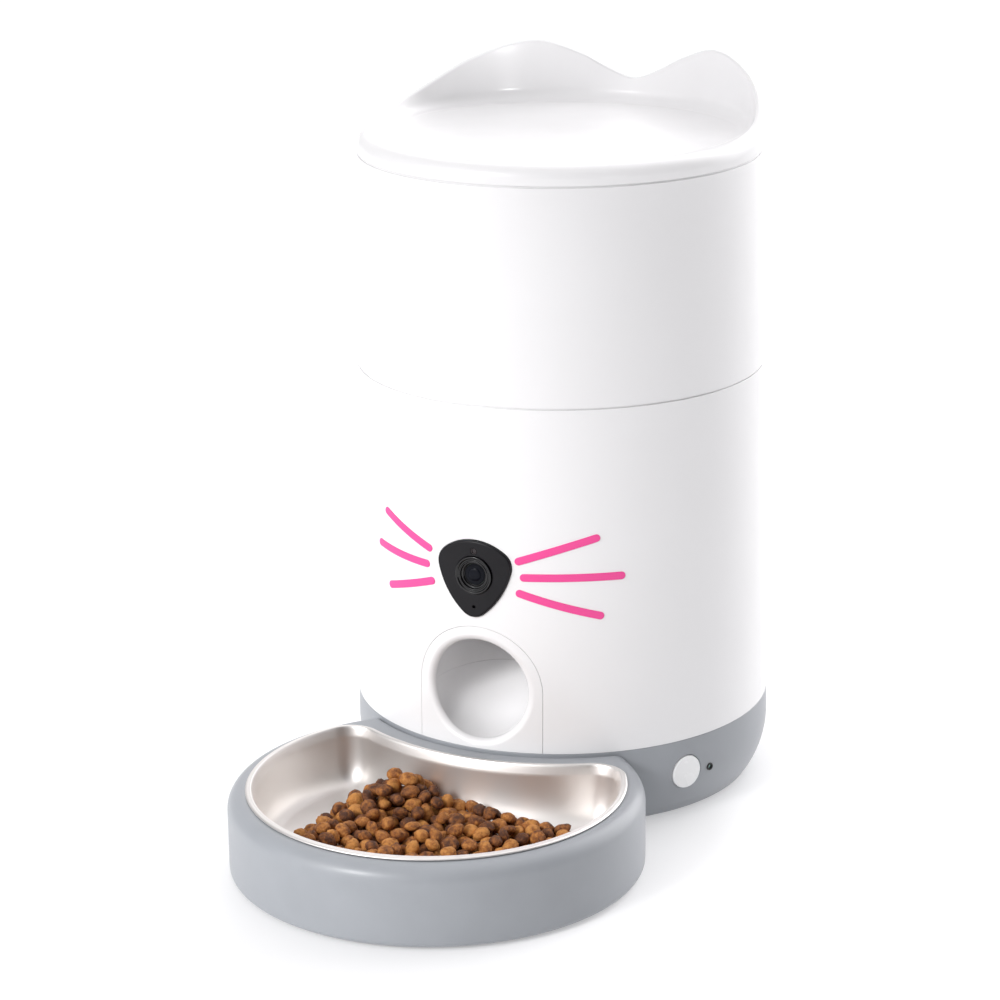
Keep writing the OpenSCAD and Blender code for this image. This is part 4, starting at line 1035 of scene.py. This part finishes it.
def through(points, steps):
    """A smooth curve through points, as many steps between each two."""
    p = np.array([points[0], *points, points[-1]], float)
    out = []
    for i in range(1, len(p) - 2):
        for t in np.arange(steps) / steps:
            out.append(0.5 * ((2 * p[i]) + (p[i + 1] - p[i - 1]) * t
                              + (2 * p[i - 1] - 5 * p[i] + 4 * p[i + 1] - p[i + 2]) * t ** 2
                              + (3 * p[i] - p[i - 1] - 3 * p[i + 1] + p[i + 2]) * t ** 3))
    return out + [p[-1]]


def build_dish():
    steps = (1, 0.9, 0.8, 0.7, 0.6, 0.5, 0.4, 0.3, 0.22, 0.15)
    under = [dish_wall(t, DISH_DEPTH + DISH_T, -DISH_T) for t in steps]
    bead = [(RIM_W - DISH_T, 0.25), (2.0, 0.2), (0.5, 0.22), (0.0, 0.7), (0.45, 1.25), (1.6, 1.5), (3.0, 1.3)]
    rim = through([(inset, TRAY_TOP + z) for inset, z in bead] + [dish_wall(0.06, DISH_DEPTH, 0)], 5)
    wall = [dish_wall(t, DISH_DEPTH, 0) for t in np.linspace(0.08, 1, 44)]
    solid_loft = bowl_loft([(dish_loop(i), z) for i, z in (*under, *rim, *wall)])
    make_piece("dish_steel", *solid_loft, "bowl", "bowl_steel", ["steel_bowl"], sharp=60)


build_tray()
build_dish()

# ---- dry food in the bowl


def kibble_shapes(rng, count):
    """Lumpy rounded pieces about one unit in radius, each a little different."""
    shapes = []
    for _ in range(count):
        bm = bmesh.new()
        bmesh.ops.create_icosphere(bm, subdivisions=3, radius=1.0)
        v = np.array([p.co for p in bm.verts])
        f = np.array([[p.index for p in g.verts] for g in bm.faces])
        bm.free()
        bulge = np.zeros(len(v))
        for _ in range(16):
            d = rng.normal(size=3)
            d /= np.linalg.norm(d)
            width = rng.uniform(4.0, 16.0)
            bulge += rng.uniform(-0.15, 0.12) * np.exp(-width * (1 - v @ d))
        ripple = sum(0.018 * np.sin(v @ rng.normal(size=3) * 7 + rng.uniform(0, TAU)) for _ in range(7))
        squash = rng.uniform([0.94, 0.80, 0.60], [1.12, 1.0, 0.84])
        shapes.append((v * (1 + bulge + ripple)[:, None] * squash, f))
    return shapes


OUTSIDE = 1e3  # the height given to the floor where there is no bowl


def dish_floor(x, y):
    """Height of the steel under a point, in the bowl's own frame."""
    edge = min(DISH_R - hypot(x, y), hypot(x, y - BOWL_DIST) - DISH_BACK_R)
    if edge >= RIM_W + WALL_RUN:
        return DISH_TOP - DISH_DEPTH
    if edge <= RIM_W:
        return OUTSIDE
    t = 2 / pi * acos(1 - ((edge - RIM_W) / WALL_RUN) ** (1 / WALL_BEND))
    return dish_wall(t, DISH_DEPTH, 0)[1]


def pile_depth(x, y):
    """How deep the food may lie at a point: heaped along the front, thin at the right."""
    left = 1 / (1 + exp(-(x + 51 - 0.1 * y) / 2.5))
    right = 1 / (1 + exp((x - 68) / 3.0))
    back = 1 / (1 + exp((y - 23 - 9 * exp(-((x + 25) / 13) ** 2)) / 2.5))
    heap = 14.5 + 10 * exp(-((x + 25) / 17) ** 2 - ((y - 15) / 16) ** 2)
    heap -= 4.0 / (1 + exp(-(x - 42) / 8))
    return heap * left * right * back


WANTED, MOST_TRIES, SETTLING = 430, 9000, 26
ROUND = circle(0, 0, 1, 10)


def build_kibble():
    """Each piece is dropped at a random point and rolls to the lowest place that it finds near."""
    rng = np.random.default_rng(20)
    shapes = kibble_shapes(rng, 7)
    placed = np.zeros((0, 4))
    tries = 0
    while len(placed) < WANTED and tries < MOST_TRIES:
        tries += 1
        r = rng.uniform(3.7, 4.7)
        x, y = rng.uniform(-58, 74), rng.uniform(-82, 38)
        if pile_depth(x, y) < 4:
            continue
        best = None
        for _ in range(SETTLING):
            ring = [dish_floor(x + r * cx, y + r * cy) for cx, cy in ROUND]
            z = max(max(ring), dish_floor(x, y) + r * 0.75)
            if len(placed):
                d2 = (placed[:, 0] - x) ** 2 + (placed[:, 1] - y) ** 2
                reach = (placed[:, 3] + r) * 0.86
                hit = d2 < reach ** 2
                if hit.any():
                    z = max(z, float(np.max(placed[hit, 2] + np.sqrt(reach[hit] ** 2 - d2[hit]))))
            if not best or z < best[2]:
                best = (x, y, z)
            x, y = best[0] + rng.normal() * 1.6, best[1] + rng.normal() * 1.6
        x, y, z = best
        if z + r * 0.4 > DISH_TOP - DISH_DEPTH + pile_depth(x, y) or z > OUTSIDE / 2:
            continue
        placed = np.vstack([placed, (x, y, z, r)])
    verts, faces, tints, n = [], [], [], 0
    for x, y, z, r in placed:
        v, f = shapes[rng.integers(len(shapes))]
        rng.normal(size=4)  # unused, but it keeps the order of the draws
        tilt = Matrix.Rotation(rng.uniform(0, TAU), 3, "Z") @ Matrix.Rotation(rng.normal() * 0.75, 3, "X")
        turn = np.array(tilt @ Matrix.Rotation(rng.uniform(0, TAU), 3, "Z"))
        verts.append((v * r * rng.uniform(0.97, 1.05)) @ turn.T + [x, y + BOWL_Y, z])
        faces.append(f + n)
        n += len(v)
        tints.append(np.repeat([[rng.uniform(), rng.uniform()]], len(v), axis=0))
    obj = new_object("kibble", np.concatenate(verts), np.concatenate(faces).tolist())
    mesh = obj.data
    mesh.shade_smooth()
    mark = mesh.attributes.new("batch", "FLOAT_COLOR", "POINT")
    t = np.concatenate(tints)
    mark.data.foreach_set("color", np.column_stack([t, t[:, :1], np.ones(len(t))]).astype(np.float32).ravel())
    mesh.materials.append(kibble_material())
    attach(obj, "bowl")


CRUST = [(0.0, (0.085, 0.027, 0.01)), (0.3, (0.21, 0.072, 0.018)), (0.62, (0.40, 0.145, 0.030)),
         (1.0, (0.62, 0.27, 0.065))]
PATCH_WEIGHT = 2.6  # how far the toasted patches move the shade within a piece


def kibble_material():
    """Baked brown crust: each piece has its own shade, with crumbs, pores and toasted patches."""
    mat = bpy.data.materials.new("kibble_crust")
    mat.use_nodes = True
    tree = mat.node_tree
    at = node(tree, "TexCoord").outputs["Object"]
    batch = node(tree, "Attribute", attribute_name="batch")
    split = node(tree, "SeparateColor", {0: batch.outputs["Color"]})
    patch = node(tree, "TexNoise", {"Vector": at, "Scale": 330, "Detail": 5, "Roughness": 0.65})
    crumb = node(tree, "TexNoise", {"Vector": at, "Scale": 900, "Detail": 6, "Roughness": 0.7})
    pores = node(tree, "TexVoronoi", {"Vector": at, "Scale": 620})
    mixed = node(tree, "Math", {0: patch.outputs["Fac"], 1: PATCH_WEIGHT, 2: split.outputs[0]},
                 operation="MULTIPLY_ADD")
    shift = node(tree, "Math", {0: mixed.outputs[0], 1: PATCH_WEIGHT / 2}, operation="SUBTRACT")
    shade = node(tree, "ValToRGB", {0: shift.outputs[0]})
    stops = shade.color_ramp.elements
    stops[0].color, stops[1].color = (*CRUST[0][1], 1), (*CRUST[-1][1], 1)
    for place, c in CRUST[1:-1]:
        stops.new(place).color = (*c, 1)
    lumps = node(tree, "Bump", {
        "Height": crumb.outputs["Fac"], "Strength": 0.8, "Distance": 0.9 * MM})
    pits = node(tree, "Bump", {
        "Height": pores.outputs["Distance"], "Normal": lumps.outputs[0], "Strength": 0.5,
        "Distance": 0.35 * MM})
    rough = node(tree, "MapRange", {"Value": crumb.outputs["Fac"], "To Min": 0.5, "To Max": 0.85})
    feed(tree, tree.nodes["Principled BSDF"], {
        "Base Color": shade.outputs[0], "Roughness": rough.outputs[0], "Normal": pits.outputs[0]})
    return mat


build_kibble()

# ---- floor, light and camera


def build_floor():
    """A lit table: pale, and glowing a little, so that shadows on it stay faint."""
    n, reach = 24, 30000.0
    t = np.linspace(-reach, reach, n)
    faces = [tuple(reversed(f)) for f in grid_faces(n, n, False, False)]
    obj = new_object("floor", [(x, y, 0.0) for x in t for y in t], faces)
    look = ((0.62, 0.62, 0.625), 0.004, 0.6, 0.06, 3, 60, 0.01)
    obj.data.materials.append(surface("studio_floor", *look, glow=0.60))


# Soft boxes of the studio: bearing from the front, elevation, half width in degrees, radiance
SOFT_BOXES = [(-180, 18, 42, 1.25), (-150, 18, 42, 0.5), (-120, 18, 42, 0.4), (-30, 18, 42, 2.1),
              (0, 18, 42, 0.2), (150, 18, 42, 3.0), (180, 50, 42, 0.8), (0, 90, 55, 1.0)]
ROOM = 0.03  # radiance between the soft boxes


def spot(name, place, target, cone, soft, power):
    """A spot with a soft edge, aimed at a point. Metres, degrees and watts."""
    data = bpy.data.lights.new(name, "SPOT")
    data.spot_size, data.spot_blend = radians(cone), 1.0
    data.shadow_soft_size, data.energy = soft, power
    obj = add(name, data)
    obj.location = place
    obj.rotation_euler = (Vector(target) - Vector(place)).to_track_quat("-Z", "Y").to_euler()


def build_light():
    """A studio drawn in the world: soft boxes with smooth edges around a dim room."""
    world = bpy.data.worlds.new("studio")
    bpy.context.scene.world = world
    world.use_nodes = True
    tree = world.node_tree
    towards = node(tree, "TexCoord").outputs["Generated"]
    total = None
    for bearing, rise, half, power in SOFT_BOXES:
        b, e = radians(bearing), radians(rise)
        middle = (sin(b) * cos(e), -cos(b) * cos(e), sin(e))
        near = node(tree, "VectorMath", {0: towards, 1: middle}, operation="DOT_PRODUCT")
        soft = node(tree, "MapRange", {
            "Value": near.outputs["Value"], "From Min": cos(radians(half)), "From Max": 1.0,
            "To Min": 0.0 if total else ROOM, "To Max": power}, interpolation_type="SMOOTHSTEP").outputs[0]
        if total:
            soft = node(tree, "Math", {0: total, 1: soft}, operation="ADD").outputs[0]
        total = soft
    feed(tree, tree.nodes["Background"], {"Color": (1.0, 0.99, 1.0, 1), "Strength": total})
    spot("bowl_fill", (-0.5, -1.3, 0.8), (-0.03, -0.06, 0.04), 23, 0.25, 66)
    spot("ear_fill", (1.3, -0.9, 0.50), (-0.05, 0.12, 0.41), 6.5, 0.05, 60)


def build_camera_view():
    """Camera at the photograph's viewing angle, with its aim as fitted to the body's seams."""
    bearing, distance, height = radians(23.48), 1471.37, 590.55
    pitch, yaw, roll = radians(17.16), radians(-1.20), radians(-0.70)
    turn = (Matrix.Rotation(bearing - yaw, 4, "Z") @ Matrix.Rotation(pi / 2 - pitch, 4, "X")
            @ Matrix.Rotation(roll, 4, "Z"))
    data = bpy.data.cameras.new("view")
    data.lens, data.sensor_width = 110.742, 36.0
    data.clip_start, data.clip_end = 0.05, 60.0
    cam = add("view", data)
    at = Vector((distance * sin(bearing), AXIS_Y - distance * cos(bearing), height)) * MM
    cam.matrix_world = Matrix.Translation(at) @ turn
    bpy.context.scene.camera = cam


build_floor()
build_light()
build_camera_view()
bpy.context.scene.view_settings.view_transform = "Standard"
